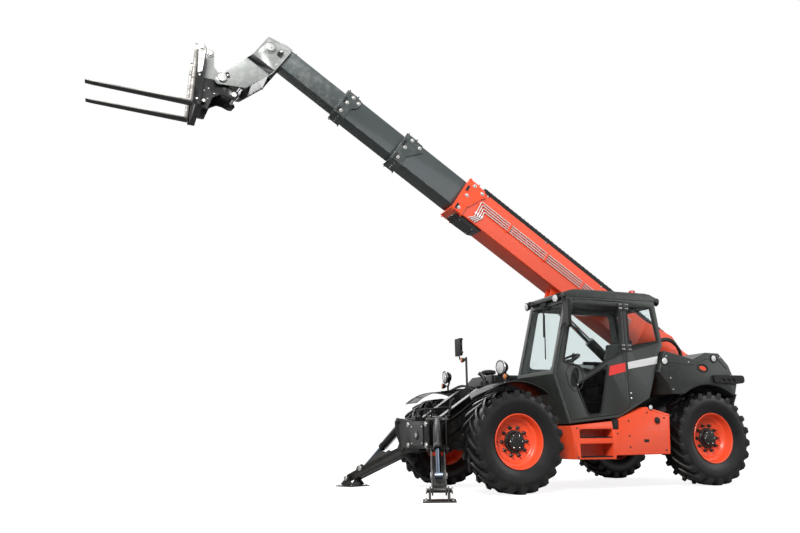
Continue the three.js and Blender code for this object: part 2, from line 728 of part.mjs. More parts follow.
function tiltRam() {
  const turn = radians(forkTilt);
  const eyeX = forkPivotX + linkX * Math.cos(turn) - linkZ * Math.sin(turn);
  const eyeZ = forkPivotZ + linkX * Math.sin(turn) + linkZ * Math.cos(turn);
  const baseX = pivotX + tiltPinU * cosBoom - tiltPinN * sinBoom;
  const baseZ = pivotZ + tiltPinU * sinBoom + tiltPinN * cosBoom;
  const span = Math.hypot(eyeX - baseX, eyeZ - baseZ);
  return ramAt(baseX, 0, baseZ, eyeX - baseX, eyeZ - baseZ,
    part('tilt_cylinder_barrel', ramBarrel(48, 560, 52, 60, 32, 26), blackPaint),
    part('tilt_cylinder_rod', ramRod(26, span - 500, span, 38, 40, 22, hitchInner - 8), chrome));
}

function boom() {
  const group = groupAt(pivotX, 0, pivotZ,
    boomBase(), innerSection(1), innerSection(2), lastSection(), boomHead());
  group.rotation.y = -radians(boomAngle);
  return group;
}

// ---------- fork carriage, level, seen from the fork pivot ----------
const shaftX = 305;
const shaftZ = 300;
const shaftRadius = 28;
const carriageHalf = 350;

const hitchInner = 158;
const hitchOuter = 182;

function hitch() {
  const outline = [
    [-62, 62], [0, 84], [60, 96], [112, 160], [122, 300], [140, 372], [200, 380], [234, 340],
    [234, -430], [150, -430], [96, -262], [0, -206], [-70, -212], [-150, -242],
    [linkX - 30, linkZ - 62], [linkX - 66, linkZ - 10], [linkX - 50, linkZ + 44], [-88, -70],
  ];
  const eye = circle(0, 0, 38 + running);
  const plates = [sidePlate(outline, hitchInner, hitchOuter, [eye]),
    sidePlate(outline, -hitchOuter, -hitchInner, [eye])];
  const face = box(208, 234, -hitchOuter, hitchOuter, -430, 340);
  const tie = crossBar(176, 328, -hitchOuter - 20, hitchOuter + 20, 30);
  const studs = [
    crossBar(linkX, linkZ, hitchOuter - 4, hitchOuter + 10, 34),
    crossBar(linkX, linkZ, -hitchOuter - 10, -hitchOuter + 4, 34),
  ];
  return part('quick_hitch', join(...plates, face, tie, ...studs), headGrey);
}

function forkCarriage() {
  const front = 330;
  const sides = [1, -1].map((side) => {
    const y = side * (carriageHalf - 10);
    return sidePlate([[236, -470], [front, -470], [front + 10, 340], [270, 350], [236, 300]], y - 10, y + 10);
  });
  const beams = [
    box(236, 300, -carriageHalf, carriageHalf, -470, -385),
    box(236, 275, -carriageHalf, carriageHalf, 120, 190),
    box(234 + seat, 260, -200, 200, -440, 330),
  ];
  const shaft = crossBar(shaftX, shaftZ, -carriageHalf - 12, carriageHalf + 12, shaftRadius);
  return part('fork_carriage', join(...sides, ...beams, shaft), blackPaint);
}

function fork(side) {
  const face = 336;
  const top = -415;
  const tip = face + 40 + forkLength;
  const outline = [
    [face, 250], [face, top - 40], [face + 40, top - 40], [tip - 60, top - 14], [tip, top - 8],
    [tip, top], [face + 60, top], [face + 40, top + 20], [face + 40, 250],
  ];
  const y = (side * forkSpacing) / 2;
  const blade = sidePlate(outline, y - 50, y + 50);
  const ear = sidePlate([
    [face, 200], [face + 38, 200], [face + 38, 300], [shaftX + 20, 356], [shaftX - 30, 350],
    [shaftX - 50, 300], [shaftX - 20, 258], [face, 250],
  ], y - 35, y + 35, [circle(shaftX, shaftZ, shaftRadius + seat)]);
  return part(`fork_${side > 0 ? 'left' : 'right'}`, join(blade, ear), forkSteel);
}

function forkSet() {
  const group = groupAt(forkPivotX, 0, forkPivotZ, hitch(), forkCarriage(), fork(1), fork(-1));
  group.rotation.y = -radians(forkTilt);
  return group;
}

// ---------- stabilisers, in each leg's frame: x outwards, y along its hinge ----------
const legHalf = 82;
const lugHalf = 98;             // inner faces of the bracket's lugs
const lugPlate = 22;
const legDrop = Math.asin((legPivotZ - footPinZ) / legLength);

function legFrame(side, ...pieces) {
  const group = groupAt(legPivotX, side * legPivotY, legPivotZ, ...pieces);
  group.rotation.z = side * radians(90 - legSplay);
  return group;
}

function bracketLugs() {
  const outline = [
    [-300, -20], [-30, -62], [32, -60], [62, -10], [64, 60], [ramPinS + 50, 230],
    [ramPinS + 58, ramPinZ], [ramPinS + 20, ramPinZ + 55], [ramPinS - 40, ramPinZ + 45],
    [-300, 340],
  ];
  const plates = platePair(outline, lugHalf, lugHalf + lugPlate);
  const pins = [
    crossBar(0, 0, -lugHalf - 44, lugHalf + 44, 27),
    crossBar(ramPinS, ramPinZ, -lugHalf - 44, lugHalf + 44, 24),
  ];
  return join(...plates, ...pins);
}

function stabiliserBracket() {
  const place = (side) => {
    const frame = legFrame(side);
    frame.updateMatrix();
    return bracketLugs().applyMatrix4(frame.matrix);
  };
  const core = cut(box(frameFront, frameFront + 210, -360, 360, 535, 880),
    box(frameFront + 20, frameFront + 190, -340, 340, 500, 860));
  const frameRoom = box(frameFront - 290, frameFront, -frameHalf - seat, frameHalf + seat, 400, 1000);
  return part('stabiliser_bracket', cut(join(core, place(1), place(-1)), frameRoom), blackPaint);
}

function legShape() {
  const outline = [
    [-58, 0], [-40, -45], [0, -58], [legLength, -55], [legLength + 40, -40], [legLength + 55, 0],
    [legLength + 40, 40], [legLength, 55], [ramEye + 90, 58], [ramEye + 50, 96], [ramEye - 50, 96],
    [ramEye - 90, 62], [780, 62], [600, 120], [440, 140], [370, 90],
    [230, 62], [0, 58], [-40, 45],
  ];
  const eyes = [circle(0, 0, 27 + running), circle(legLength, 0, 24 + running)];
  const sides = platePair(outline, 66, legHalf, eyes);
  const floor = sidePlate([[90, -58], [legLength - 75, -55], [legLength - 75, -43], [90, -46]], -70, 70);
  return join(...sides, floor);
}

function padShape() {
  const ears = platePair([[-110, -103], [-42, 0], [0, 45], [42, 0], [110, -103]], 90, 106);
  const plate = box(-165, 165, -180, 180, -footPinZ, -footPinZ + 14);
  const pin = crossBar(0, 0, -135, 135, 24);
  return join(plate, ...ears, pin);
}

function stabiliser(side) {
  const name = side > 0 ? 'left' : 'right';
  const leg = new THREE.Group();
  leg.add(part(`stabiliser_leg_${name}`, legShape(), blackPaint));
  leg.rotation.y = legDrop;
  const footX = Math.sqrt(legLength ** 2 - (legPivotZ - footPinZ) ** 2);
  const pad = groupAt(footX, 0, footPinZ - legPivotZ, part(`stabiliser_pad_${name}`, padShape(), blackPaint));
  const eyeX = ramEye * Math.cos(legDrop) + ramEyeRise * Math.sin(legDrop);
  const eyeZ = -ramEye * Math.sin(legDrop) + ramEyeRise * Math.cos(legDrop);
  const span = Math.hypot(eyeX - ramPinS, eyeZ - ramPinZ);
  const ram = ramAt(ramPinS, 0, ramPinZ, eyeX - ramPinS, eyeZ - ramPinZ,
    part(`stabiliser_barrel_${name}`, ramBarrel(52, 560, 46, 60, 24, 30), blackPaint),
    part(`stabiliser_rod_${name}`, ramRod(30, span - 550, span, 38, 44), chrome));
  return legFrame(side, leg, pad, ram);
}

// ---------- mirror mast ----------
function mirrorMast() {
  const shelf = tyreRadius + archRadius + 6 + seat;
  const post = bar([0, 0, 0], [0, 0, 444], 15, 12);
  const foot = box(-28, 28, -45, 38, 0, 14);
  const arm = bar([0, 0, 419], [-8, -220, 439], 12, 12);
  const neck = bar([-8, -220, 439], [-15, -260, 514], 10, 12);
  const head = box(-32, 2, -350, -170, 489, 739);
  const mast = part('mirror_mast', join(post, foot, arm, neck, head), blackPaint);
  return groupAt(wheelbase / 2 - 90, -frameHalf - 60, shelf, mast);
}

// ---------- the whole machine ----------
const machine = new THREE.Group();
machine.add(
  axleSet('front', wheelbase / 2),
  axleSet('rear', -wheelbase / 2),
  chassisFrame(),
  counterweight(),
  sideStepTank(),
  rearBody(1),
  rearBody(-1),
  frontFender(1),
  frontFender(-1),
  engineBay(),
  part('engine_block', box(-620, 520, -1020, -420, 445 + seat, 1240), blackPaint),
  engineHood(),
  cabFrame(),
  cabRoof(),
  ...cabGlass(),
  ...door(),
  operatorSeat(),
  steeringColumn(),
  liftRam(),
  boom(),
  tiltRam(),
  forkSet(),
  stabiliserBracket(),
  stabiliser(1),
  stabiliser(-1),
  mirrorMast(),
);

// The reference point is on the ground, midway between the rear end and the fork tips.
const rearEnd = frameRear - 60;
const forkTip = { x: 336 + 40 + forkLength, z: -415 - 8 };
const frontEnd = forkPivotX + forkTip.x * Math.cos(radians(forkTilt))
  - forkTip.z * Math.sin(radians(forkTilt));
machine.position.x = -(rearEnd + frontEnd) / 2;

export default machine;
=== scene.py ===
import json
from math import cos, pi, radians, sin

import bmesh
import bpy
from mathutils import Matrix, Vector


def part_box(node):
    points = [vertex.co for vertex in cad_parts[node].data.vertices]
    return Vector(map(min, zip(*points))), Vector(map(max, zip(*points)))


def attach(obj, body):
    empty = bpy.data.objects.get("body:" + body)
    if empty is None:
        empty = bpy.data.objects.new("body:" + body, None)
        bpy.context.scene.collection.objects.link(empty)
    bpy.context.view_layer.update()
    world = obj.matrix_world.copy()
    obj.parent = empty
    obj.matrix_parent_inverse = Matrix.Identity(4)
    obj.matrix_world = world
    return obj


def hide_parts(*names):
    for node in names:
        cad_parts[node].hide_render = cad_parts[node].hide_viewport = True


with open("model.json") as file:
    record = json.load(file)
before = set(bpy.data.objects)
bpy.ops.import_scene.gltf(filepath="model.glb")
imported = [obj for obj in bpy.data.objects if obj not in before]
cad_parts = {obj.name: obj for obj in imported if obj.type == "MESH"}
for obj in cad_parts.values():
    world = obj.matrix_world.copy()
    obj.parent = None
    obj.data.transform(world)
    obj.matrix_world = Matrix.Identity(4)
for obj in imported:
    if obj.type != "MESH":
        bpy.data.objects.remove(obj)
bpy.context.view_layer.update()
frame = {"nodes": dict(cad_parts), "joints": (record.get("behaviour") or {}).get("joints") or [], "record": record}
cadNodes = frame["nodes"]
record = frame["record"]
joints = {joint["name"]: joint for joint in frame["joints"]}
bodyOfNode = {node: body for body, group in record["behaviour"]["bodies"].items() for node in group}
print("frame loaded:", len(cadNodes), "nodes")


# places: everything hangs on the wheels, the boom's pin and the fork's pin
def middle(node):
    low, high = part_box(node)
    return (low + high) / 2


wheelFront = middle("front_tyre_left")
wheelRear = middle("rear_tyre_left")
datum = (wheelFront.x + wheelRear.x) / 2  # half way between the axles


def at(x, y, z):
    return Vector((datum + x, y, z))


def axes(origin, along, up):
    side = up.cross(along)
    turn = Matrix((along, side, up)).transposed().to_4x4()
    return Matrix.Translation(origin) @ turn


machineFrame = Matrix.Translation(Vector((datum, 0, 0)))
boomPin = Vector(joints["boom_lift"]["pos_m"])
boomAlong = Vector(joints["telescope_2"]["axis"]).normalized()
boomFrame = axes(boomPin, boomAlong, Vector((-boomAlong.z, 0, boomAlong.x)))
forkPin = Vector(joints["fork_tilt"]["pos_m"])
forkLean = radians(3)
forkFrame = axes(forkPin, Vector((cos(forkLean), 0, sin(forkLean))),
                 Vector((-sin(forkLean), 0, cos(forkLean))))


def ramFrame(hinge, slide):
    along = Vector(joints[slide]["axis"]).normalized()
    side = Vector(joints[hinge]["axis"]).normalized()
    return axes(Vector(joints[hinge]["pos_m"]), along, along.cross(side).normalized())


def legFrame(side):
    pin = Vector(joints[f"stabiliser_{side}"]["pos_m"])
    foot = Vector(joints[f"stabiliser_{side}_pad"]["pos_m"])
    along = (foot - pin).normalized()
    hinge = Vector((-along.y, along.x, 0)).normalized()
    return axes(pin, along, along.cross(hinge).normalized())


sides = (("left", 1), ("right", -1))


# mesh tools
def newShape():
    return bmesh.new()


def setFinish(faces, finish):
    for face in faces:
        face.material_index = finish


# the low and high face of something that lies between two distances on the left (1) or the right (-1)
def sideSpan(way, near, far):
    return sorted((way * near, way * far))


def addPrism(shape, outline, low, high, plane="side", finish=0):
    spot = {
        "side": lambda a, b, d: (a, d, b),
        "front": lambda a, b, d: (d, a, b),
        "floor": lambda a, b, d: (a, b, d),
    }[plane]
    rings = [[shape.verts.new(spot(a, b, d)) for a, b in outline] for d in (low, high)]
    faces = [shape.faces.new(rings[0]), shape.faces.new(rings[1][::-1])]
    for i in range(len(outline)):
        j = (i + 1) % len(outline)
        faces.append(shape.faces.new((rings[0][i], rings[1][i], rings[1][j], rings[0][j])))
    setFinish(faces, finish)
    return faces


def addBlock(shape, x, y, z, finish=0):
    return addPrism(shape, [(x[0], z[0]), (x[1], z[0]), (x[1], z[1]), (x[0], z[1])], y[0], y[1],
                    "side", finish)


def rounded(points, radius, steps=5):
    result = []
    count = len(points)
    for i, corner in enumerate(points):
        corner = Vector(corner)
        before = Vector(points[i - 1]) - corner
        after = Vector(points[(i + 1) % count]) - corner
        half = before.angle(after) / 2
        reach = min(radius / max(sin(half) / cos(half), 0.05), before.length / 2.05, after.length / 2.05)
        a = corner + before.normalized() * reach
        b = corner + after.normalized() * reach
        for k in range(steps + 1):
            t = k / steps
            result.append(tuple(a * (1 - t) ** 2 + corner * 2 * t * (1 - t) + b * t * t))
    return result


def ellipse(x, y, rx, ry, count=28, lean=0):
    points = []
    for i in range(count):
        a = 2 * pi * i / count
        px, py = rx * cos(a), ry * sin(a)
        points.append((x + px * cos(lean) - py * sin(lean), y + px * sin(lean) + py * cos(lean)))
    return points


# a ring-shaped plate between two outlines with the same number of points
def addFrameBand(shape, outer, inner, low, high, plane="side", finish=0):
    spot = (lambda a, b, d: (a, d, b)) if plane == "side" else (lambda a, b, d: (d, a, b))
    count = len(outer)
    layers = [[shape.verts.new(spot(a, b, d)) for a, b in loop]
              for loop, d in ((outer, low), (outer, high), (inner, high), (inner, low))]
    for k in range(4):
        here, there = layers[k], layers[(k + 1) % 4]
        for i in range(count):
            j = (i + 1) % count
            face = shape.faces.new((here[i], here[j], there[j], there[i]))
            face.material_index = finish


def spinFrame(origin, axis):
    axis = Vector(axis).normalized()
    helper = Vector((0, 0, 1)) if abs(axis.z) < 0.9 else Vector((1, 0, 0))
    first = axis.cross(helper).normalized()
    turn = Matrix((first, axis.cross(first), axis)).transposed().to_4x4()
    return Matrix.Translation(Vector(origin)) @ turn


# turns a profile of (radius, height) pairs about an axis
def addTurned(shape, profile, origin, axis, count=32, finish=0, closed=False):
    place = spinFrame(origin, axis)
    rings = []
    for radius, height in profile:
        if radius < 1e-6:
            rings.append([shape.verts.new(place @ Vector((0, 0, height)))])
        else:
            rings.append([shape.verts.new(place @ Vector(
                (radius * cos(2 * pi * i / count), radius * sin(2 * pi * i / count), height)))
                for i in range(count)])
    pairs = list(zip(rings, rings[1:]))
    if closed:
        pairs.append((rings[-1], rings[0]))
    faces = []
    for a, b in pairs:
        for i in range(count):
            j = (i + 1) % count
            corners = [a[i % len(a)], a[j % len(a)], b[j % len(b)], b[i % len(b)]]
            unique = list(dict.fromkeys(corners))
            if len(unique) > 2:
                faces.append(shape.faces.new(unique))
    setFinish(faces, finish)
    return faces


# a flat ring; its inner edge may stand higher or lower than its outer edge
def addRing(shape, inner, outer, height, innerHeight, spot, normal, count=32, finish=0):
    profile = [(inner, 0), (outer, 0), (outer, height), (inner, innerHeight)]
    addTurned(shape, profile, spot, normal, count, finish, True)


def addBar(shape, start, end, radius, count=20, finish=0, edge=0.0):
    start, end = Vector(start), Vector(end)
    length = (end - start).length
    edge = min(edge, radius * 0.5, length * 0.4)
    profile = [(0, 0), (radius - edge, 0), (radius, edge), (radius, length - edge), (radius - edge, length),
               (0, length)]
    if edge == 0:
        profile = [(0, 0), (radius, 0), (radius, length), (0, length)]
    return addTurned(shape, profile, start, end - start, count, finish)


def smoothPath(points, steps):
    points = [Vector(p) for p in points]
    ends = [points[0] * 2 - points[1]] + points + [points[-1] * 2 - points[-2]]
    path = []
    for a, b, c, d in zip(ends, ends[1:], ends[2:], ends[3:]):
        for k in range(steps):
            t = k / steps
            path.append(0.5 * (2 * b + (c - a) * t + (2 * a - 5 * b + 4 * c - d) * t * t
                               + (3 * b - a - 3 * c + d) * t ** 3))
    path.append(points[-1])
    return path


# rounds the corners of a path with short arcs, as a bent pipe has
def bentPath(points, radius, steps=5):
    points = [Vector(p) for p in points]
    path = [points[0]]
    for before, corner, after in zip(points, points[1:], points[2:]):
        a, b = before - corner, after - corner
        reach = min(radius, a.length / 2.1, b.length / 2.1)
        a, b = corner + a.normalized() * reach, corner + b.normalized() * reach
        for k in range(steps + 1):
            t = k / steps
            path.append(a * (1 - t) ** 2 + corner * 2 * t * (1 - t) + b * t * t)
    path.append(points[-1])
    return path


def addPipe(shape, path, radius, count=10, finish=0):
    path = [Vector(p) for p in path]
    along = [(b - a).normalized() for a, b in zip(path, path[1:])]
    along.append(along[-1])
    normal = along[0].orthogonal().normalized()
    rings = []
    for i, (point, ahead) in enumerate(zip(path, along)):
        if 0 < i < len(path) - 1:
            ahead = (along[i - 1] + along[i]).normalized()
        normal = (normal - ahead * normal.dot(ahead)).normalized()
        other = ahead.cross(normal)
        turns = [2 * pi * k / count for k in range(count)]
        rings.append([shape.verts.new(point + (normal * cos(a) + other * sin(a)) * radius) for a in turns])
    faces = [shape.faces.new(rings[0][::-1]), shape.faces.new(rings[-1])]
    for a, b in zip(rings, rings[1:]):
        for k in range(count):
            m = (k + 1) % count
            faces.append(shape.faces.new((a[k], a[m], b[m], b[k])))
    setFinish(faces, finish)


# a hexagon head on a washer, with a domed top
def addBolt(shape, spot, normal, size=0.012, finish=0):
    place = spinFrame(spot, normal)
    addTurned(shape, [(0, -0.001), (size * 1.15, -0.001), (size * 1.15, size * 0.16), (0, size * 0.16)],
              spot, normal, 18, finish)
    rings = []
    for radius, height in ((size * 0.92, size * 0.16), (size * 0.92, size * 0.66), (size * 0.72, size * 0.8)):
        rings.append([shape.verts.new(place @ Vector((radius * cos(pi * k / 3), radius * sin(pi * k / 3),
                                                      height))) for k in range(6)])
    for a, b in zip(rings, rings[1:]):
        for k in range(6):
            m = (k + 1) % 6
            shape.faces.new((a[k], a[m], b[m], b[k])).material_index = finish
    shape.faces.new(rings[-1]).material_index = finish
    shape.faces.new(rings[0][::-1]).material_index = finish


def finishPiece(name, shape, materials, body="chassis", place=machineFrame, edge=0.0,
                rounding=2,
                crease=30, replaces=()):
    if place:
        shape.transform(place)
    bmesh.ops.recalc_face_normals(shape, faces=shape.faces)
    mesh = bpy.data.meshes.new(name)
    shape.to_mesh(mesh)
    shape.free()
    piece = bpy.data.objects.new(name, mesh)
    bpy.context.scene.collection.objects.link(piece)
    for material in materials if isinstance(materials, (list, tuple)) else [materials]:
        mesh.materials.append(material)
    for face in mesh.polygons:
        face.use_smooth = True
    if edge:
        bevel = piece.modifiers.new("edge", "BEVEL")
        bevel.width = edge
        bevel.segments = rounding
        bevel.limit_method = "ANGLE"
        bevel.angle_limit = radians(crease)
        bevel.harden_normals = True
    else:
        mesh.set_sharp_from_angle(angle=radians(crease))
    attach(piece, body)
    if replaces:
        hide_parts(*replaces)
    return piece


# the CAD solid with its long edges eased, as folded and ground plate has; past the split it is black
def easedNode(node, material, edge=0.004, rounding=2, crease=26, split=None):
    shape = newShape()
    shape.from_mesh(cadNodes[node].data)
    bmesh.ops.remove_doubles(shape, verts=shape.verts, dist=2e-5)
    bmesh.ops.dissolve_limit(shape, angle_limit=radians(0.8), verts=shape.verts, edges=shape.edges)
    for spot, normal in split[0] if split else ():
        everything = list(shape.verts) + list(shape.edges) + list(shape.faces)
        bmesh.ops.bisect_plane(shape, geom=everything, dist=1e-5, plane_co=spot, plane_no=normal)
    for face in shape.faces:
        face.material_index = 1 if split and split[1](face.calc_center_median(), face.normal) else 0
    finishes = (material, blackPaint) if split else material
    return finishPiece(f"{node}_body", shape, finishes, bodyOfNode[node],
                       None, edge, rounding, crease, (node,))


# shared shader groups
def newGroup(name, inputs, outputs):
    group = bpy.data.node_groups.new(name, "ShaderNodeTree")
    for label, value in inputs:
        kind = "NodeSocketColor" if isinstance(value, tuple) else "NodeSocketFloat"
        group.interface.new_socket(label, in_out="INPUT", socket_type=kind).default_value = value
    for label, kind in outputs:
        group.interface.new_socket(label, in_out="OUTPUT", socket_type=kind)
    return group, group.nodes.new("NodeGroupInput"), group.nodes.new("NodeGroupOutput")


def addNode(tree, kind, links=(), **settings):
    node = tree.nodes.new(kind)
    for key, value in settings.items():
        if key in node.inputs:
            node.inputs[key].default_value = value
        else:
            setattr(node, key, value)
    for source, target in links:
        tree.links.new(source, node.inputs[target])
    return node


def addMath(tree, operation, a, b=0.5, clamp=False):
    node = tree.nodes.new("ShaderNodeMath")
    node.operation = operation
    node.use_clamp = clamp
    for socket, value in zip(node.inputs, (a, b)):
        if isinstance(value, (int, float)):
            socket.default_value = value
        else:
            tree.links.new(value, socket)
    return node.outputs[0]


def addNoise(tree, vector, scale, detail=4.0, rough=0.55):
    noise = addNode(tree, "ShaderNodeTexNoise", [(vector, "Vector")])
    noise.inputs["Detail"].default_value = detail
    noise.inputs["Roughness"].default_value = rough
    if isinstance(scale, (int, float)):
        noise.inputs["Scale"].default_value = scale
    else:
        tree.links.new(scale, noise.inputs["Scale"])
    return noise.outputs["Fac"]


def addRange(tree, value, low, high, toLow=0.0, toHigh=1.0):
    node = addNode(tree, "ShaderNodeMapRange", [(value, "Value")])
    for label, number in (("From Min", low), ("From Max", high), ("To Min", toLow), ("To Max", toHigh)):
        if isinstance(number, (int, float)):
            node.inputs[label].default_value = number
        else:
            tree.links.new(number, node.inputs[label])
    return node.outputs["Result"]


def addMix(tree, factor, a, b):
    node = tree.nodes.new("ShaderNodeMix")
    node.data_type = "RGBA"
    for socket, value in ((node.inputs[0], factor), (node.inputs[6], a), (node.inputs[7], b)):
        if isinstance(value, (int, float, tuple)):
            socket.default_value = value
        else:
            tree.links.new(value, socket)
    return node.outputs[2]


# bare metal or worn paint where the surface turns sharply, broken up by noise
def makeEdgeWear():
    group, given, result = newGroup("edgeWear", [("Amount", 0.5), ("Breakup", 14.0)],
                                    [("Mask", "NodeSocketFloat")])
    shape = addNode(group, "ShaderNodeNewGeometry").outputs["Pointiness"]
    place = addNode(group, "ShaderNodeTexCoord").outputs["Object"]
    sharp = addRange(group, shape, 0.52, 0.62)
    broken = addRange(group, addNoise(group, place, given.outputs["Breakup"], 6), 0.45, 0.7)
    mask = addMath(group, "MULTIPLY", addMath(group, "MULTIPLY", sharp, broken), given.outputs["Amount"],
                   True)
    group.links.new(mask, result.inputs["Mask"])
    return group


# settled dust: more near the ground and on faces that look up
def makeDust():
    group, given, result = newGroup("dust", [("Amount", 0.3), ("Reach", 1.1), ("Scale", 5.0)],
                                    [("Mask", "NodeSocketFloat")])
    place = addNode(group, "ShaderNodeTexCoord").outputs["Object"]
    height = addNode(group, "ShaderNodeSeparateXYZ", [(place, "Vector")]).outputs["Z"]
    low = addRange(group, height, given.outputs["Reach"], 0.0)
    facing = addNode(group, "ShaderNodeSeparateXYZ",
                     [(addNode(group, "ShaderNodeNewGeometry").outputs["Normal"], "Vector")]).outputs["Z"]
    top = addRange(group, facing, 0.75, 1.0, 0.0, 0.45)
    patches = addRange(group, addNoise(group, place, given.outputs["Scale"], 7, 0.62), 0.35, 0.75)
    mask = addMath(group, "MULTIPLY", addMath(group, "ADD", low, top, True), patches)
    group.links.new(addMath(group, "MULTIPLY", mask, given.outputs["Amount"], True), result.inputs["Mask"])
    return group


# soft change of tone over large panels, and the fine texture of sprayed paint
def makePaintTone():
    group, given, result = newGroup("paintTone", [("Color", (0.5, 0.5, 0.5, 1)), ("Shade", 0.12),
                                                  ("Texture", 260.0)],
                                    [("Color", "NodeSocketColor"), ("Height", "NodeSocketFloat")])
    place = addNode(group, "ShaderNodeTexCoord").outputs["Object"]
    cloud = addRange(group, addNoise(group, place, 1.7, 3), 0.3, 0.7)
    level = addMath(group, "SUBTRACT", 1.0, addMath(group, "MULTIPLY", cloud, given.outputs["Shade"]))
    shaded = addNode(group, "ShaderNodeVectorMath", [(given.outputs["Color"], 0)], operation="SCALE")
    group.links.new(level, shaded.inputs["Scale"])
    group.links.new(shaded.outputs[0], result.inputs["Color"])
    group.links.new(addNoise(group, place, given.outputs["Texture"], 2), result.inputs["Height"])
    return group


# long fine lines, as rolled and ground steel shows
def makeGrindLines():
    group, given, result = newGroup("grindLines", [("Stretch", 30.0), ("Scale", 18.0)],
                                    [("Mask", "NodeSocketFloat")])
    place = addNode(group, "ShaderNodeTexCoord").outputs["Object"]
    parts = addNode(group, "ShaderNodeSeparateXYZ", [(place, "Vector")])
    wide = addMath(group, "DIVIDE", parts.outputs["X"], given.outputs["Stretch"])
    joined = addNode(group, "ShaderNodeCombineXYZ", [(wide, "X"), (parts.outputs["Y"], "Y"),
                                                     (parts.outputs["Z"], "Z")])
    group.links.new(addNoise(group, joined.outputs[0], given.outputs["Scale"], 5, 0.7), result.inputs["Mask"])
    return group


# over and under threads for the seat cloth
def makeWeave():
    group, given, result = newGroup("weave", [("Threads", 420.0)],
                                    [("Height", "NodeSocketFloat"), ("Mask", "NodeSocketFloat")])
    place = addNode(group, "ShaderNodeTexCoord").outputs["Object"]
    parts = addNode(group, "ShaderNodeSeparateXYZ", [(place, "Vector")])
    rise = addMath(group, "ADD", parts.outputs["Z"], parts.outputs["X"])
    across = addMath(group, "SINE", addMath(group, "MULTIPLY", parts.outputs["Y"], given.outputs["Threads"]))
    along = addMath(group, "SINE", addMath(group, "MULTIPLY", rise, given.outputs["Threads"]))
    crossing = addMath(group, "MULTIPLY", across, along)
    group.links.new(addRange(group, crossing, -1, 1), result.inputs["Height"])
    group.links.new(addRange(group, addNoise(group, place, 26, 4), 0.35, 0.7), result.inputs["Mask"])
    return group


edgeWear = makeEdgeWear()
dust = makeDust()
paintTone = makePaintTone()
grindLines = makeGrindLines()
weave = makeWeave()


def placeGroup(tree, group, **values):
    node = tree.nodes.new("ShaderNodeGroup")
    node.node_tree = group
    for key, value in values.items():
        node.inputs[key].default_value = value
    return node


def newMaterial(name, color, roughness, metallic=0.0, coat=0.0, coatRoughness=0.1):
    material = bpy.data.materials.new(name)
    material.use_nodes = True
    material.diffuse_color = color + (1,)
    tree = material.node_tree
    shader = tree.nodes["Principled BSDF"]
    shader.inputs["Base Color"].default_value = color + (1,)
    shader.inputs["Roughness"].default_value = roughness
    shader.inputs["Metallic"].default_value = metallic
    shader.inputs["Coat Weight"].default_value = coat
    shader.inputs["Coat Roughness"].default_value = coatRoughness
    return material, tree, shader


def addBump(tree, shader, height, strength, distance=0.001):
    bump = addNode(tree, "ShaderNodeBump", [(height, "Height")])
    bump.inputs["Strength"].default_value = strength
    bump.inputs["Distance"].default_value = distance
    tree.links.new(bump.outputs["Normal"], shader.inputs["Normal"])


dustColor = (0.21, 0.18, 0.145, 1)


def makePaint(name, color, roughness, metallic=0.0, coat=0.3, shade=0.12, wear=0.35, worn=(0.16, 0.15, 0.14,
        1),
              dirt=0.3, texture=260.0, bump=0.05, gloss=0.4):
    material, tree, shader = newMaterial(name, color, roughness, metallic, coat)
    shader.inputs["Specular IOR Level"].default_value = gloss
    tone = placeGroup(tree, paintTone, Color=color + (1,), Shade=shade, Texture=texture)
    edges = placeGroup(tree, edgeWear, Amount=wear)
    film = placeGroup(tree, dust, Amount=dirt)
    bare = addMix(tree, edges.outputs["Mask"], tone.outputs["Color"], worn)
    tree.links.new(addMix(tree, film.outputs["Mask"], bare, dustColor), shader.inputs["Base Color"])
    rough = addRange(tree, film.outputs["Mask"], 0.0, 0.6, roughness, min(roughness + 0.35, 0.9))
    tree.links.new(rough, shader.inputs["Roughness"])
    addBump(tree, shader, tone.outputs["Height"], bump)
    return material


def makeSteel(name, color, roughness, worn, wornAmount, stretch=30.0, metallic=1.0, dirt=0.12):
    material, tree, shader = newMaterial(name, color, roughness, metallic)
    lines = placeGroup(tree, grindLines, Stretch=stretch)
    film = placeGroup(tree, dust, Amount=dirt)
    patchy = addRange(tree, lines.outputs["Mask"], 0.42, 0.66, 0.0, wornAmount)
    base = addMix(tree, patchy, color + (1,), worn)
    tree.links.new(addMix(tree, film.outputs["Mask"], base, dustColor), shader.inputs["Base Color"])
    tree.links.new(addRange(tree, lines.outputs["Mask"], 0.3, 0.7, roughness * 0.75, roughness * 1.35),
                   shader.inputs["Roughness"])
    addBump(tree, shader, lines.outputs["Mask"], 0.12)
    return material


def makeRubber(name, color, roughness, dirt, texture):
    material, tree, shader = newMaterial(name, color, roughness)
    tone = placeGroup(tree, paintTone, Color=color + (1,), Shade=0.35, Texture=texture)
    shader.inputs["Specular IOR Level"].default_value = 0.35
    film = placeGroup(tree, dust, Amount=dirt, Reach=1.5, Scale=9.0)
    tree.links.new(addMix(tree, film.outputs["Mask"], tone.outputs["Color"], (0.085, 0.078, 0.066, 1)),
                   shader.inputs["Base Color"])
    tree.links.new(addRange(tree, film.outputs["Mask"], 0.0, 0.5, roughness, 0.88),
                   shader.inputs["Roughness"])
    addBump(tree, shader, tone.outputs["Height"], 0.22)
    return material


def makeGlass(name, color, roughness=0.02):
    material, tree, shader = newMaterial(name, color, roughness)
    shader.inputs["Transmission Weight"].default_value = 1.0
    shader.inputs["IOR"].default_value = 1.12
    film = placeGroup(tree, dust, Amount=0.25, Reach=2.6, Scale=3.0)
    tree.links.new(addRange(tree, film.outputs["Mask"], 0.0, 0.5, roughness, roughness + 0.16),
                   shader.inputs["Roughness"])
    return material


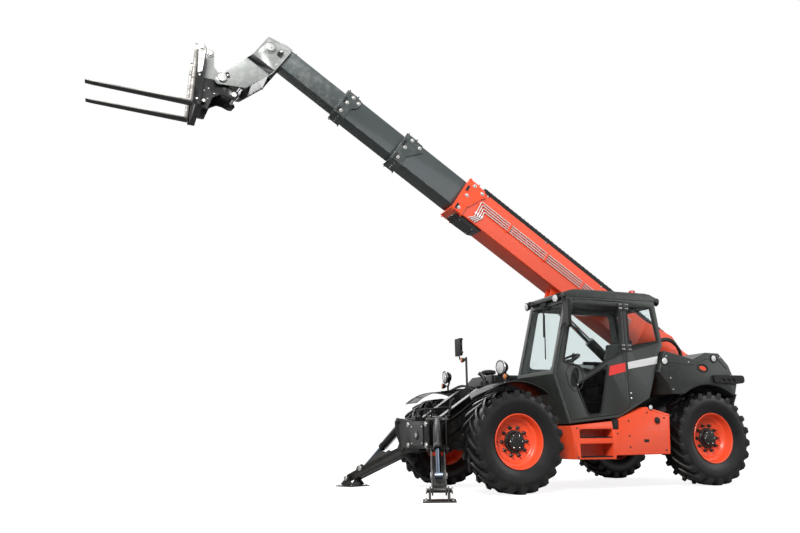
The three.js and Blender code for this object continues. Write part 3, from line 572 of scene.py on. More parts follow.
def makeLens(name, color, clear=0.35):
    material, tree, shader = newMaterial(name, color, 0.12, 0.0, 1.0, 0.03)
    shader.inputs["Transmission Weight"].default_value = clear
    place = addNode(tree, "ShaderNodeTexCoord").outputs["Object"]
    ribs = addNode(tree, "ShaderNodeTexWave", [(place, "Vector")])
    ribs.inputs["Scale"].default_value = 34.0
    ribs.bands_direction = "Z"
    tree.links.new(addMix(tree, addRange(tree, ribs.outputs["Fac"], 0.1, 0.9, 0.0, 0.35), color + (1,),
                          tuple(c * 0.55 for c in color) + (1,)), shader.inputs["Base Color"])
    addBump(tree, shader, ribs.outputs["Fac"], 0.3)
    return material


def makeCloth(name, color):
    material, tree, shader = newMaterial(name, color, 0.85)
    shader.inputs["Sheen Weight"].default_value = 0.06
    threads = placeGroup(tree, weave)
    lighter = tuple(min(1, c * 1.8 + 0.004) for c in color) + (1,)
    tree.links.new(addMix(tree, addMath(tree, "MULTIPLY", threads.outputs["Mask"], threads.outputs["Height"]),
                          color + (1,), lighter), shader.inputs["Base Color"])
    addBump(tree, shader, threads.outputs["Height"], 0.5, 0.0015)
    return material


orangePaint = makePaint("orangePaint", (0.96, 0.088, 0.024), 0.40, 0.0, 0.2, 0.07, 0.28, dirt=0.14)
cabPaint = makePaint("cabPaint", (0.03, 0.036, 0.0335), 0.4, 0.0, 0.08, 0.18, 0.22, (0.2, 0.2, 0.19, 1), 0.16)
hoodPaint = makePaint("hoodPaint", (0.027, 0.032, 0.030), 0.42, 0.0, 0.08, 0.18, 0.22, (0.2, 0.2, 0.19, 1),
                      0.2)
boomPaint = makePaint("boomPaint", (0.052, 0.066, 0.068), 0.34, 0.25, 0.3, 0.22, 0.45, (0.3, 0.31, 0.3, 1),
                      0.1)
headPaint = makePaint("headPaint", (0.33, 0.35, 0.345), 0.4, 0.25, 0.2, 0.35, 0.55, (0.45, 0.46, 0.45, 1),
                      0.08)
blackPaint = makePaint("blackPaint", (0.0055, 0.0062, 0.007), 0.3, 0.0, 0.08, 0.25, 0.35,
                       (0.12, 0.12, 0.12, 1), 0.16)
blackPlastic = makePaint("blackPlastic", (0.008, 0.0085, 0.009), 0.5, 0.0, 0.0, 0.2, 0.1,
                         (0.06, 0.06, 0.06, 1), 0.14, 420.0, 0.25, 0.3)
tyreRubber = makeRubber("tyreRubber", (0.0055, 0.0055, 0.006), 0.27, 0.13, 120.0)
sealRubber = makeRubber("sealRubber", (0.012, 0.012, 0.012), 0.6, 0.1, 500.0)
boltSteel = makeSteel("boltSteel", (0.62, 0.62, 0.60), 0.3, (0.3, 0.29, 0.27, 1), 0.5, 4.0)
pipeSteel = makeSteel("pipeSteel", (0.66, 0.67, 0.67), 0.24, (0.45, 0.44, 0.42, 1), 0.4, 12.0)
chromeSteel = makeSteel("chromeSteel", (0.78, 0.79, 0.81), 0.1, (0.6, 0.6, 0.6, 1), 0.25, 40.0, dirt=0.04)
# stabiliser rods: chrome darkened as painted shade and tinted blue as a painted reflection
ramSteel = makeSteel("ramSteel", (0.12, 0.15, 0.2), 0.16, (0.07, 0.08, 0.1, 1), 0.3, 40.0, dirt=0.05)
forkSteel = makeSteel("forkSteel", (0.2, 0.195, 0.185), 0.42, (0.03, 0.029, 0.028, 1), 0.8, 26.0, 0.7)
bladeSteel = makeSteel("bladeSteel", (0.42, 0.42, 0.41), 0.4, (0.2, 0.19, 0.18, 1), 0.6, 20.0)
silverPlate = makeSteel("silverPlate", (0.72, 0.73, 0.73), 0.35, (0.55, 0.55, 0.55, 1), 0.4, 60.0, 0.35)
redPatch = makePaint("redPatch", (0.82, 0.035, 0.028), 0.38, 0.0, 0.3, 0.05, 0.0, dirt=0.05)
cabGlass = makeGlass("cabGlass", (0.82, 0.87, 0.87))
darkGlass = makeGlass("darkGlass", (0.16, 0.175, 0.18))
lampClear = makeLens("lampClear", (0.9, 0.92, 0.93), clear=0.15)
lampAmber = makeLens("lampAmber", (0.9, 0.27, 0.02))
lampRed = makeLens("lampRed", (0.75, 0.02, 0.015))
mirrorFace = makeSteel("mirrorFace", (0.86, 0.88, 0.9), 0.04, (0.8, 0.82, 0.84, 1), 0.1, 1.0, dirt=0.02)
seatCloth = makeCloth("seatCloth", (0.019, 0.02, 0.0215))
print("materials ready:", len(bpy.data.materials))


# camera, floor and light
cameraSettings = {"place": (6.176, 9.157, 0.695), "yaw": 0.381, "pitch": 0.224, "roll": -0.014, "lens": 33.5}


def makeCamera(s):
    yaw, pitch, roll = s["yaw"], s["pitch"], s["roll"]
    ahead = Vector((-sin(yaw) * cos(pitch), -cos(yaw) * cos(pitch), sin(pitch)))
    right = Vector((-cos(yaw), sin(yaw), 0))
    up = right.cross(ahead)
    rolledRight = right * cos(roll) + up * sin(roll)
    rolledUp = up * cos(roll) - right * sin(roll)
    data = bpy.data.cameras.new("camera")
    data.lens = s["lens"]
    data.sensor_width = 36
    data.clip_end = 400
    camera = bpy.data.objects.new("camera", data)
    bpy.context.scene.collection.objects.link(camera)
    turn = Matrix((rolledRight, rolledUp, -ahead)).transposed().to_4x4()
    camera.matrix_world = Matrix.Translation(at(*s["place"])) @ turn
    bpy.context.scene.camera = camera


makeCamera(cameraSettings)

lightSettings = [
    ("keyLight", (9.0, 11.0, 10.0), 6.0, 2500, (1.0, 0.98, 0.95)),
    ("fillLight", (-10.0, 9.0, 7.0), 8.0, 260, (0.95, 0.97, 1.0)),
    ("rimLight", (1.0, -10.0, 9.0), 8.0, 420, (1.0, 1.0, 1.0)),
    ("topLight", (1.0, 1.0, 14.0), 10.0, 420, (1.0, 1.0, 1.0)),
]
for name, spot, size, power, tint in lightSettings:
    data = bpy.data.lights.new(name, "AREA")
    data.shape = "DISK"
    data.size = size
    data.energy = power
    data.color = tint
    lamp = bpy.data.objects.new(name, data)
    bpy.context.scene.collection.objects.link(lamp)
    lamp.location = at(*spot)
    lamp.rotation_euler = (at(1.5, 0, 1.5) - lamp.location).to_track_quat("-Z", "Y").to_euler()


def makeSurroundings():
    world = bpy.data.worlds.new("studio")
    bpy.context.scene.world = world
    world.use_nodes = True
    tree = world.node_tree
    sky = tree.nodes["Background"]
    path = addNode(tree, "ShaderNodeLightPath")
    seen = addMath(tree, "MAXIMUM", path.outputs["Is Camera Ray"], path.outputs["Is Transmission Ray"])
    seen = addMath(tree, "MAXIMUM", seen, path.outputs["Is Glossy Ray"])
    sky.inputs["Color"].default_value = (1, 1, 1, 1)
    tree.links.new(addRange(tree, seen, 0.0, 1.0, 0.15, 1.0), sky.inputs["Strength"])

    shape = newShape()
    addPrism(shape, ellipse(0, 0, 160, 160, 96), -0.03, -0.001, "floor")
    bmesh.ops.recalc_face_normals(shape, faces=shape.faces)
    mesh = bpy.data.meshes.new("studioFloor")
    shape.to_mesh(mesh)
    shape.free()
    floor = bpy.data.objects.new("studioFloor", mesh)
    bpy.context.scene.collection.objects.link(floor)
    material, tree, shader = newMaterial("paleFloor", (0.34, 0.34, 0.34), 0.9)
    path = addNode(tree, "ShaderNodeLightPath")
    away = addNode(tree, "ShaderNodeVectorMath", [(addNode(tree, "ShaderNodeTexCoord").outputs["Object"], 0)],
                   operation="LENGTH")
    glow = addRange(tree, away.outputs["Value"], 4.0, 15.0, 0.86, 1.0)
    shader.inputs["Emission Color"].default_value = (1, 1, 1, 1)
    seen = addMath(tree, "MAXIMUM", path.outputs["Is Camera Ray"], path.outputs["Is Transmission Ray"])
    tree.links.new(addMath(tree, "MULTIPLY", seen, glow), shader.inputs["Emission Strength"])
    mesh.materials.append(material)


makeSurroundings()
bpy.context.scene.view_settings.view_transform = "Standard"
print("camera, floor and lights ready")

# plates and castings that keep their CAD shape
# noseStart to bayRim are where the chassis and the engine bay change colour
noseStart, rearStart, deckTop, bayRim = 1.28, -0.8, 1.36, 1.085
bladeTop, hitchSplitUp = -0.432, -0.02  # below these the forks and the hitch are black
boomBack = boomFrame.inverted()
forkBack = forkFrame.inverted()
forkUp = forkFrame.to_3x3() @ Vector((0, 0, 1))
# the forks' black below bladeTop and on their downward faces is painted shade under the lit blade tops
bladeSplit = ([(forkFrame @ Vector((0, 0, bladeTop)), forkUp)],
              lambda p, n: (forkBack @ p).z < bladeTop or n.dot(forkUp) < -0.5)
hitchSplit = ([(forkFrame @ Vector((0, 0, hitchSplitUp)), forkUp)],
              lambda p, n: (forkBack @ p).z < hitchSplitUp or abs(n.y) < 0.4)
frameSplits = {
    "chassis_frame": ([(at(noseStart, 0, 0), (1, 0, 0)), (at(rearStart, 0, 0), (-1, 0, 0)),
                       (at(0, 0, deckTop), (0, 0, 1))],
                      lambda p, n: p.x - datum > noseStart or (p.x - datum < rearStart and p.z < deckTop)),
    "engine_bay": ([(at(0, 0, bayRim), (0, 0, 1))], lambda p, n: p.z > bayRim),
    # black on the boom head's downward faces, on its lower faces that don't look sideways and on the belly between
    # its plates is painted shade
    "boom_head": ([], lambda p, n: (abs(n.y) < 0.7 and ((boomBack @ p).z < -0.2
                                                        or (boomBack.to_3x3() @ n).z < -0.2)
                                    or abs(p.y) < 0.205 and (boomBack @ p).z < -0.26)),
    "quick_hitch": hitchSplit, "fork_left": bladeSplit, "fork_right": bladeSplit,
}
easedParts = [
    (("chassis_frame", "side_step_tank", "engine_bay"), orangePaint, 0.005),
    (("boom_base",), orangePaint, 0.006),
    (("counterweight", "rear_body_left", "rear_body_right", "engine_hood"), hoodPaint, 0.009),
    (("cab_frame", "cab_roof", "door_frame"), cabPaint, 0.007),
    (("boom_section_2", "boom_section_3", "boom_section_4"), boomPaint, 0.006),
    (("boom_head", "quick_hitch"), headPaint, 0.004),
    (("fork_left", "fork_right"), forkSteel, 0.006),
    (("front_axle", "rear_axle", "stabiliser_bracket", "fork_carriage", "engine_block"), blackPaint, 0.004),
    (("lift_cylinder_barrel", "tilt_cylinder_barrel"), blackPaint, 0.004),
]
easedParts += [((f"stabiliser_{piece}_{side}",), blackPaint, 0.004)
               for side in ("left", "right") for piece in ("leg", "pad", "barrel")]
easedParts += [((f"{end}_knuckle_{side}",), blackPaint, 0.005)
               for side in ("left", "right") for end in ("front", "rear")]
for group, paint, edge in easedParts:
    for node in group:
        easedNode(node, paint, edge, split=frameSplits.get(node))

rearPlate = {"behind": 2.43, "setIn": 0.018}  # the counterweight's rear face leaves room for the bolt heads
for vertex in bpy.data.objects["counterweight_body"].data.vertices:
    if vertex.co.x < datum - rearPlate["behind"]:
        vertex.co.x += rearPlate["setIn"]

keptFinishes = {
    "windscreen": cabGlass, "quarter_glass": cabGlass, "right_glass": cabGlass, "rear_glass": cabGlass,
    "door_glass_upper": cabGlass, "door_glass_lower": darkGlass,
    "lift_cylinder_rod": chromeSteel, "tilt_cylinder_rod": chromeSteel,
    "stabiliser_rod_left": ramSteel, "stabiliser_rod_right": ramSteel,
}
for node, finish in keptFinishes.items():
    mesh = cadNodes[node].data
    for i in range(len(mesh.materials)):
        mesh.materials[i] = finish
    if not mesh.materials:
        mesh.materials.append(finish)
print("plates and castings ready")

# wheels
wheelSettings = {
    "segments": 96, "lugs": 22, "lugSweep": 0.34, "lugWidth": 0.052, "nuts": 10, "nutRing": 0.170,
}
tyreProfile = [
    (0.3055, -0.165), (0.322, -0.172), (0.337, -0.174), (0.35, -0.184), (0.366, -0.187), (0.374, -0.192),
    (0.43, -0.2005), (0.47, -0.2035), (0.51, -0.2035), (0.522, -0.2), (0.55, -0.197), (0.568, -0.186),
    (0.578, -0.165), (0.583, -0.09), (0.584, 0.0),
]


def addTyre(shape, s, radius):
    profile = tyreProfile + [(r, -y) for r, y in tyreProfile[-2::-1]]
    profile.append((0.3055, 0.0))
    addTurned(shape, profile, (0, 0, 0), (0, 1, 0), s["segments"], 0, True)
    steps = 9
    for side in (1, -1):
        for i in range(s["lugs"]):
            start = 2 * pi * (i + (0.5 if side < 0 else 0)) / s["lugs"]
            rings = []
            for k in range(steps + 1):
                t = k / steps
                across = side * (-0.012 + 0.216 * min(t * 1.06, 1.0))
                angle = start + s["lugSweep"] * t ** 0.82
                top = radius if t < 0.86 else radius - 0.034 * ((t - 0.86) / 0.14) ** 1.5
                foot = 0.573 if t < 0.8 else 0.573 - 0.075 * (t - 0.8) / 0.2
                if t > 0.86:
                    across = side * (0.1975 + 0.0062 * (t - 0.86) / 0.14)
                wide = s["lugWidth"] * (0.40 + 0.22 * t)
                ring = []
                for level, spread in ((foot, 1.35), (top - 0.006, 1.0), (top, 0.84)):
                    ring += [(angle - wide * spread / level, level), (angle + wide * spread / level, level)]
                order = [ring[0], ring[2], ring[4], ring[5], ring[3], ring[1]]
                rings.append([shape.verts.new((r * sin(a), across if r > 0.58 else across * 0.985,
                                               r * cos(a))) for a, r in order])
            for a, b in zip(rings, rings[1:]):
                for k in range(6):
                    m = (k + 1) % 6
                    shape.faces.new((a[k], a[m], b[m], b[k]))
            shape.faces.new(rings[0])
            shape.faces.new(rings[-1][::-1])


def addRim(shape, s):
    dish = [
        (0.132, 0.050), (0.150, 0.0455), (0.226, 0.052), (0.24, 0.060), (0.252, 0.0735), (0.262, 0.088),
        (0.276, 0.0955), (0.287, 0.1), (0.2925, 0.112), (0.295, 0.134), (0.304, 0.146), (0.3065, 0.168),
        (0.316, 0.182), (0.326, 0.1848), (0.3298, 0.181), (0.3298, 0.1752), (0.319, 0.1735), (0.3052, 0.165),
        (0.3048, -0.165), (0.319, -0.1735), (0.3298, -0.1752), (0.3298, -0.181), (0.322, -0.1848),
        (0.30, -0.172), (0.2912, -0.15), (0.2912, 0.048), (0.268, 0.058), (0.2505, 0.0615), (0.150, 0.031),
        (0.1, 0.031), (0.1, 0.05),
    ]
    addTurned(shape, dish, (0, 0, 0), (0, 1, 0), s["segments"], 0, True)
    hub = [
        (0.0, 0.05), (0.136, 0.05), (0.136, 0.068), (0.130, 0.0755), (0.112, 0.0765), (0.106, 0.084),
        (0.103, 0.104), (0.098, 0.1105), (0.07, 0.1125), (0.064, 0.1185), (0.032, 0.1205), (0.029, 0.1165),
        (0.0, 0.1165),
    ]
    addTurned(shape, hub, (0, 0, 0), (0, 1, 0), 48, 1)
    for i in range(s["nuts"]):
        a = 2 * pi * i / s["nuts"]
        x, z = s["nutRing"] * cos(a), s["nutRing"] * sin(a)
        addBar(shape, (x, 0.045, z), (x, 0.102, z), 0.0105, 12, 1, 0.002)
        addBolt(shape, (x, 0.047, z), (0, 1, 0), 0.0215, 1)
    for i in range(8):
        a = 2 * pi * (i + 0.5) / 8
        addBolt(shape, (0.119 * cos(a), 0.0765, 0.119 * sin(a)), (0, 1, 0), 0.0085, 1)
    for i in range(6):
        a = 2 * pi * i / 6
        addBolt(shape, (0.082 * cos(a), 0.112, 0.082 * sin(a)), (0, 1, 0), 0.0065, 2)
    addBar(shape, (0.247, 0.06, 0.0), (0.252, 0.104, 0.0), 0.006, 10, 1, 0.001)


for end in ("front", "rear"):
    for side, outward in sides:
        centre = middle(f"{end}_tyre_{side}")
        low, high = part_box(f"{end}_tyre_{side}")
        radius = (high.z - low.z) / 2 - 0.0006
        place = Matrix.Translation(centre) @ Matrix.Rotation(0 if outward > 0 else pi, 4, "Z")
        tyre = newShape()
        addTyre(tyre, wheelSettings, radius)
        if outward < 0:  # the lugs point the same way on both sides of the machine
            tyre.transform(Matrix.Diagonal((-1, 1, 1, 1)))
        finishPiece(f"{end}_tyre_{side}_lugged", tyre, tyreRubber, f"{end}_wheel_{side}", place,
                    0.0, 2, 32, (f"{end}_tyre_{side}",))
        rim = newShape()
        addRim(rim, wheelSettings)
        finishPiece(f"{end}_rim_{side}_dished", rim, (orangePaint, blackPaint, boltSteel),
                    f"{end}_wheel_{side}", place, 0.0, 2, 32, (f"{end}_rim_{side}",))
print("wheels ready")

# cab trim
cabSide = 1.15  # outer face of the cab
cabWindows = {
    "door_glass_upper": ([(0.575, 2.35), (-0.16, 2.35), (-0.16, 1.715), (0.08, 1.622), (0.42, 1.43),
                          (0.545, 1.535),
                          (0.77, 1.58)], "door"),
    "door_glass_lower": ([(0.6, 1.295), (0.08, 1.57), (0.24, 0.932), (0.44, 0.912)], "door"),
    "quarter_glass": ([(-0.27, 2.35), (-0.68, 2.35), (-0.76, 1.88), (-0.27, 1.76)], "chassis"),
}


def widened(points, by):
    centre = Vector((sum(p[0] for p in points) / len(points), sum(p[1] for p in points) / len(points)))
    result = []
    for i, p in enumerate(points):
        p = Vector(p)
        a = (Vector(points[i - 1]) - p).normalized()
        b = (Vector(points[(i + 1) % len(points)]) - p).normalized()
        out = Vector((-(a - b).y, (a - b).x)).normalized()
        if out.dot(p - centre) < 0:
            out = -out
        spread = by / max(cos(max(0.0, (pi - a.angle(b)) / 2)), 0.45)
        result.append(tuple(p + out * spread))
    return result


for node, (outline, body) in cabWindows.items():
    seal = newShape()
    inner = rounded(widened(outline, -0.017), 0.045, 4)
    outer = rounded(widened(outline, 0.009), 0.06, 4)
    addFrameBand(seal, outer, inner, cabSide - 0.006, cabSide + 0.006)
    finishPiece(f"{node}_seal", seal, sealRubber, body, machineFrame, 0.0025)

# handle panel with its oval recess, blank patch and strip
doorTrim = newShape()
panel = [(0.735, 1.47), (0.66, 1.575), (0.55, 1.545), (0.475, 1.44), (0.49, 1.3), (0.56, 1.22), (0.64, 1.215),
         (0.71, 1.31)]
addFrameBand(doorTrim, rounded(panel, 0.1, 4),
             [tuple((Vector(p) - Vector((0.606, 1.4))) * 0.965 + Vector((0.606, 1.4)))
               for p in rounded(panel, 0.1, 4)], cabSide - 0.002, cabSide + 0.009)
oval = ellipse(0.604, 1.395, 0.05, 0.125, 32, 0.22)
ovalIn = ellipse(0.604, 1.395, 0.039, 0.112, 32, 0.22)
addFrameBand(doorTrim, oval, ovalIn, cabSide - 0.001, cabSide + 0.013, finish=1)
addPrism(doorTrim, ovalIn, cabSide - 0.002, cabSide + 0.003, finish=1)
addPipe(doorTrim, bentPath([(0.585, cabSide + 0.004, 1.335), (0.585, cabSide + 0.022, 1.345),
                            (0.618, cabSide + 0.022, 1.45),
                            (0.618, cabSide + 0.004, 1.46)], 0.012), 0.009, 12, 1)
addBar(doorTrim, (0.572, cabSide, 1.3), (0.572, cabSide + 0.008, 1.3), 0.01, 16, 2, 0.002)
finishPiece("door_handle_panel", doorTrim, (cabPaint, blackPlastic, boltSteel), "door",
            machineFrame, 0.003)

patch = newShape()
addPrism(patch, rounded([(0.055, 1.545), (-0.19, 1.592), (-0.186, 1.478), (0.085, 1.418)], 0.006, 2),
         cabSide + 0.0003, cabSide + 0.0016)
finishPiece("door_patch", patch, redPatch, "door", machineFrame, 0.0005)
strip = newShape()
addPrism(strip, rounded([(-0.232, 1.60), (-0.728, 1.692), (-0.707, 1.592), (-0.232, 1.51)], 0.006, 2),
         cabSide + 0.0003, cabSide + 0.0018)
finishPiece("cab_strip", strip, silverPlate, "chassis", machineFrame, 0.0006)

# hinge leaves with their bolts
for index, z in enumerate((2.34, 1.795)):
    hinge = newShape()
    addPrism(hinge, rounded([(-0.212, z - 0.052), (-0.142, z - 0.045), (-0.142, z + 0.045),
                             (-0.212, z + 0.052)], 0.012, 3), cabSide + 0.0125, cabSide + 0.018)
    for dx, dz in ((-0.158, 0.026), (-0.158, -0.026), (-0.186, 0.026), (-0.186, -0.026)):
        addBolt(hinge, (dx, cabSide + 0.018, z + dz), (0, 1, 0), 0.008, 1)
    finishPiece(f"door_hinge_{index + 1}", hinge, (blackPaint, boltSteel), "door", machineFrame,
                0.002)
    post = newShape()
    addPrism(post, rounded([(-0.305, z - 0.05), (-0.247, z - 0.05), (-0.247, z + 0.05), (-0.305, z + 0.05)],
                           0.01, 3), cabSide - 0.001, cabSide + 0.012)
    for dx, dz in ((-0.262, 0.028), (-0.262, -0.028), (-0.29, 0.028), (-0.29, -0.028)):
        addBolt(post, (dx, cabSide + 0.012, z + dz), (0, 1, 0), 0.007, 1)
    finishPiece(f"cab_hinge_post_{index + 1}", post, (blackPaint, boltSteel), edge=0.002)

# small screws near the sill and a round marker lamp
cabBits = newShape()
for x, z in ((-0.245, 1.2), (-0.245, 1.135)):
    addBolt(cabBits, (x, cabSide, z), (0, 1, 0), 0.0115)
addTurned(cabBits, [(0, 0), (0.045, 0), (0.045, 0.008), (0.038, 0.014), (0, 0.016)], (-0.79, 1.2, 1.625),
          (0, 1, 0), 32, 1)
addRing(cabBits, 0.045, 0.052, 0.01, 0.012, (-0.79, 1.2, 1.625), (0, 1, 0), 32, 2)
finishPiece("cab_screws", cabBits, (boltSteel, lampClear, blackPlastic))

# roof: rails, vent hatch, beacon and work lamps
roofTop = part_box("cab_roof")[1].z
roof = newShape()
addPrism(roof, rounded([(0.32, 0.4), (0.32, 1.02), (-0.36, 1.02), (-0.36, 0.4)], 0.08, 4),
         roofTop - 0.002, roofTop + 0.018, "floor")
for y in (0.315, 1.115):
    addPipe(roof, bentPath([(0.62, y, roofTop - 0.035), (0.5, y, roofTop + 0.004),
                            (-0.66, y, roofTop + 0.004), (-0.74, y, roofTop - 0.03)], 0.05), 0.011, 10)
for x in (0.24, -0.28):
    for y in (0.47, 0.95):
        addBolt(roof, (x, y, roofTop + 0.018), (0, 0, 1), 0.009, 1)
finishPiece("cab_roof_hatch", roof, (cabPaint, boltSteel), "chassis", machineFrame, 0.006)

beacon = newShape()
beaconSpot = (-0.6, 0.9, roofTop)
addTurned(beacon, [(0, 0), (0.062, 0), (0.062, 0.012), (0.05, 0.024), (0, 0.024)], beaconSpot, (0, 0, 1),
          32, 1)
addTurned(beacon, [(0, 0.022), (0.047, 0.022), (0.05, 0.035), (0.047, 0.075), (0.036, 0.092), (0, 0.098)],
          beaconSpot, (0, 0, 1))
finishPiece("roof_beacon", beacon, (lampRed, blackPlastic), "chassis", machineFrame)


# a round work lamp that looks along a direction
def addLamp(shape, spot, look, radius=0.055, depth=0.07):
    spot, look = Vector(spot), Vector(look).normalized()
    back = spot - look * depth
    addTurned(shape, [(0, 0), (radius * 0.45, 0.0), (radius * 0.85, depth * 0.35), (radius, depth * 0.75),
                      (radius * 1.06, depth * 0.8), (radius * 1.06, depth), (radius * 0.94, depth),
                      (radius * 0.92, depth * 0.93), (0, depth * 0.93)], back, look)
    addTurned(shape, [(0, 0), (radius * 0.9, 0), (radius * 0.86, 0.008), (radius * 0.5, 0.014), (0, 0.016)],
              back + look * depth * 0.93, look, 32, 1)
    for k in range(4):  # cooling fins
        addRing(shape, radius * 0.5, radius * (0.62 + 0.1 * k), 0.003, 0.003,
                  back + look * depth * (0.06 + 0.12 * k), look, 24)


def addStalk(shape, path, radius=0.009):
    addPipe(shape, bentPath(path, 0.03), radius)


roofLamps = newShape()
for x, y, z, look in ((0.78, 1.07, 2.41, 1), (0.78, 0.36, 2.41, 1), (-0.86, 1.08, 2.44, -1),
                      (-0.86, 0.35, 2.44, -1)):
    addLamp(roofLamps, (x, y, z), (look, 0.15 * (1 if y > 0.7 else -1), -0.12), 0.052, 0.066)
    addStalk(roofLamps, [(x - look * 0.04, y, z + 0.045), (x - look * 0.055, y, z + 0.07),
                         (x - look * 0.15, y, z + 0.06)], 0.01)
    addBlock(roofLamps, sorted((x - look * 0.03, x - look * 0.06)), (y - 0.016, y + 0.016),
             (z + 0.03, z + 0.062))
finishPiece("roof_lamps", roofLamps, (blackPlastic, lampClear), edge=0.002)

# mirror on the door's front post
mirror = newShape()
outline = rounded([(-0.085, -0.19), (0.085, -0.19), (0.085, 0.19), (-0.085, 0.19)], 0.05, 5)
addPrism(mirror, outline, -0.012, 0.03, "front")
addPrism(mirror, [(a * 0.9, b * 0.95) for a, b in outline], -0.0145, -0.011, "front", 1)
mirrorPlace = Matrix.Translation((0.76, 1.31, 2.19)) @ Matrix.Rotation(radians(-14), 4, "Z")
mirror.transform(mirrorPlace)
addStalk(mirror, [(0.80, 1.27, 2.335), (0.80, 1.27, 2.42), (0.74, 1.16, 2.44), (0.68, 1.10, 2.445)], 0.011)
addStalk(mirror, [(0.79, 1.27, 2.06), (0.80, 1.22, 2.02), (0.765, 1.14, 2.0)], 0.009)
finishPiece("door_mirror", mirror, (blackPlastic, mirrorFace), edge=0.004)

# wiper: motor cover, arm and blade on the windscreen
glassLow, glassHigh = (0.928, 1.43), (0.655, 2.43)


def onScreen(up, y, out=0.012):
    low, high = Vector((glassLow[0], 0, glassLow[1])), Vector((glassHigh[0], 0, glassHigh[1]))
    ahead = (high - low).normalized()
    face = Vector((ahead.z, 0, -ahead.x))
    return low + (high - low) * up + Vector((0, y, 0)) + face * out


wiper = newShape()
pivot = onScreen(0.955, 0.66, 0.0)
addBlock(wiper, (pivot.x - 0.03, pivot.x + 0.035), (0.6, 0.72), (pivot.z - 0.04, pivot.z + 0.035))
addPipe(wiper, [onScreen(0.95, 0.66, 0.035), onScreen(0.8, 0.71, 0.03), onScreen(0.5, 0.8, 0.02)], 0.0065, 8)
addPipe(wiper, [onScreen(0.95, 0.68, 0.035), onScreen(0.8, 0.73, 0.03), onScreen(0.5, 0.82, 0.02)], 0.0045, 8)
blade = [onScreen(t, 0.70 + (0.93 - 0.70) * (0.82 - t) / 0.62, 0.008) for t in (0.82, 0.66, 0.5, 0.35, 0.2)]
addPipe(wiper, blade, 0.007, 6)
addPipe(wiper, [p + Vector((0.006, 0, 0.002)) for p in blade], 0.004, 6)
finishPiece("screen_wiper", wiper, blackPlastic)


def addPaneSeal(node, corners):
    seal = newShape()
    addPipe(seal, bentPath(corners + corners[:1], 0.04), 0.011, 8)
    finishPiece(f"{node}_seal", seal, sealRubber)


screenSeal = {"low": 0.045, "high": 0.935, "y": (0.33, 1.1), "out": -0.017}
addPaneSeal("windscreen", [onScreen(screenSeal[up], screenSeal["y"][i], screenSeal["out"])
                           for up, i in (("low", 0), ("low", 1), ("high", 1), ("high", 0))])
low, high = (corner - Vector((datum, 0, 0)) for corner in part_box("rear_glass"))
addPaneSeal("rear_glass", [Vector((x - 0.002, y, z)) for x, y, z in (
    (low.x, low.y, low.z), (low.x, high.y, low.z), (high.x, high.y, high.z), (high.x, low.y, high.z))])

# inside the cab
wheelRing = newShape()
lean = radians(28)
ringPlace = Matrix.Translation((0.43, 0.715, 1.64)) @ Matrix.Rotation(lean, 4, "Y")
ringProfile = [(0.19 + 0.0155 * cos(2 * pi * k / 14), 0.0155 * sin(2 * pi * k / 14)) for k in range(14)]
addTurned(wheelRing, ringProfile, (0, 0, 0), (0, 0, 1), 64, 0, True)
addTurned(wheelRing, [(0, -0.03), (0.05, -0.028), (0.055, -0.004), (0.045, 0.008), (0, 0.012)], (0, 0, 0),
          (0, 0, 1))
for turn in (0.5, 2.6, 4.7):
    ray = Vector((cos(turn), sin(turn), 0))
    addPipe(wheelRing, [ray * 0.045 - Vector((0, 0, 0.01)), ray * 0.11 - Vector((0, 0, 0.014)), ray * 0.185],
            0.0115)
addBar(wheelRing, (0.15, 0.1, 0.005), (0.15, 0.1, 0.06), 0.016, 16, 0, 0.006)  # spinner knob
wheelRing.transform(ringPlace)
addBar(wheelRing, (0.437, 0.715, 1.63), (0.52, 0.715, 1.47), 0.032)
addPrism(wheelRing, rounded([(0.47, 1.125), (0.62, 1.125), (0.69, 1.42), (0.66, 1.52), (0.55, 1.54),
                             (0.47, 1.49)], 0.03, 3), 0.62, 0.81)
addPrism(wheelRing, rounded([(0.50, 1.50), (0.60, 1.505), (0.575, 1.575), (0.515, 1.56)], 0.015, 3),
         0.57, 0.86)
addPipe(wheelRing, [(0.53, 0.62, 1.5), (0.52, 0.55, 1.53), (0.5, 0.5, 1.56)], 0.007, 8)
finishPiece("steering_wheel", wheelRing, blackPlastic, edge=0.003, replaces=("steering_column",))

console = newShape()
addPrism(console, rounded([(-0.45, 1.14), (0.2, 1.14), (0.26, 1.5), (0.16, 1.6), (-0.38, 1.53)], 0.04, 3),
         0.345, 0.465)
addPrism(console, rounded([(0.55, 1.14), (0.78, 1.14), (0.86, 1.36), (0.8, 1.42), (0.62, 1.4)], 0.03, 3),
         0.36, 1.06)
addPipe(console, smoothPath([(0.1, 0.41, 1.575), (0.11, 0.41, 1.65), (0.1, 0.42, 1.71)], 4), 0.011, 10)
addTurned(console, [(0, 0), (0.02, 0.004), (0.027, 0.03), (0.025, 0.075), (0.015, 0.096), (0, 0.1)],
          (0.1, 0.42, 1.69), (0, 0.05, 1), 20)
for k in range(5):
    addBlock(console, (-0.2 + 0.055 * k, -0.165 + 0.055 * k), (0.38, 0.42),
             (1.545 + 0.008 * k, 1.572 + 0.008 * k))
addBlock(console, (0.35, 0.4), (0.9, 1.0), (1.13, 1.24))
for y in (0.56, 0.86):
    addPrism(console, rounded([(0.56, 1.13), (0.6, 1.12), (0.66, 1.24), (0.62, 1.26)], 0.01, 2),
             y - 0.04, y + 0.04)
finishPiece("cab_console", console, blackPlastic, edge=0.006)

mat = newShape()
addPrism(mat, rounded([(0.5, 0.5), (0.5, 1.06), (-0.45, 1.06), (-0.45, 0.98), (0.1, 0.96), (0.14, 0.5)],
                      0.04, 3), 1.1195, 1.13, "floor")
for k in range(14):
    addBlock(mat, (0.16 + 0.022 * k, 0.168 + 0.022 * k), (0.53, 1.03), (1.129, 1.134))
finishPiece("cab_floor_mat", mat, sealRubber, edge=0.002)

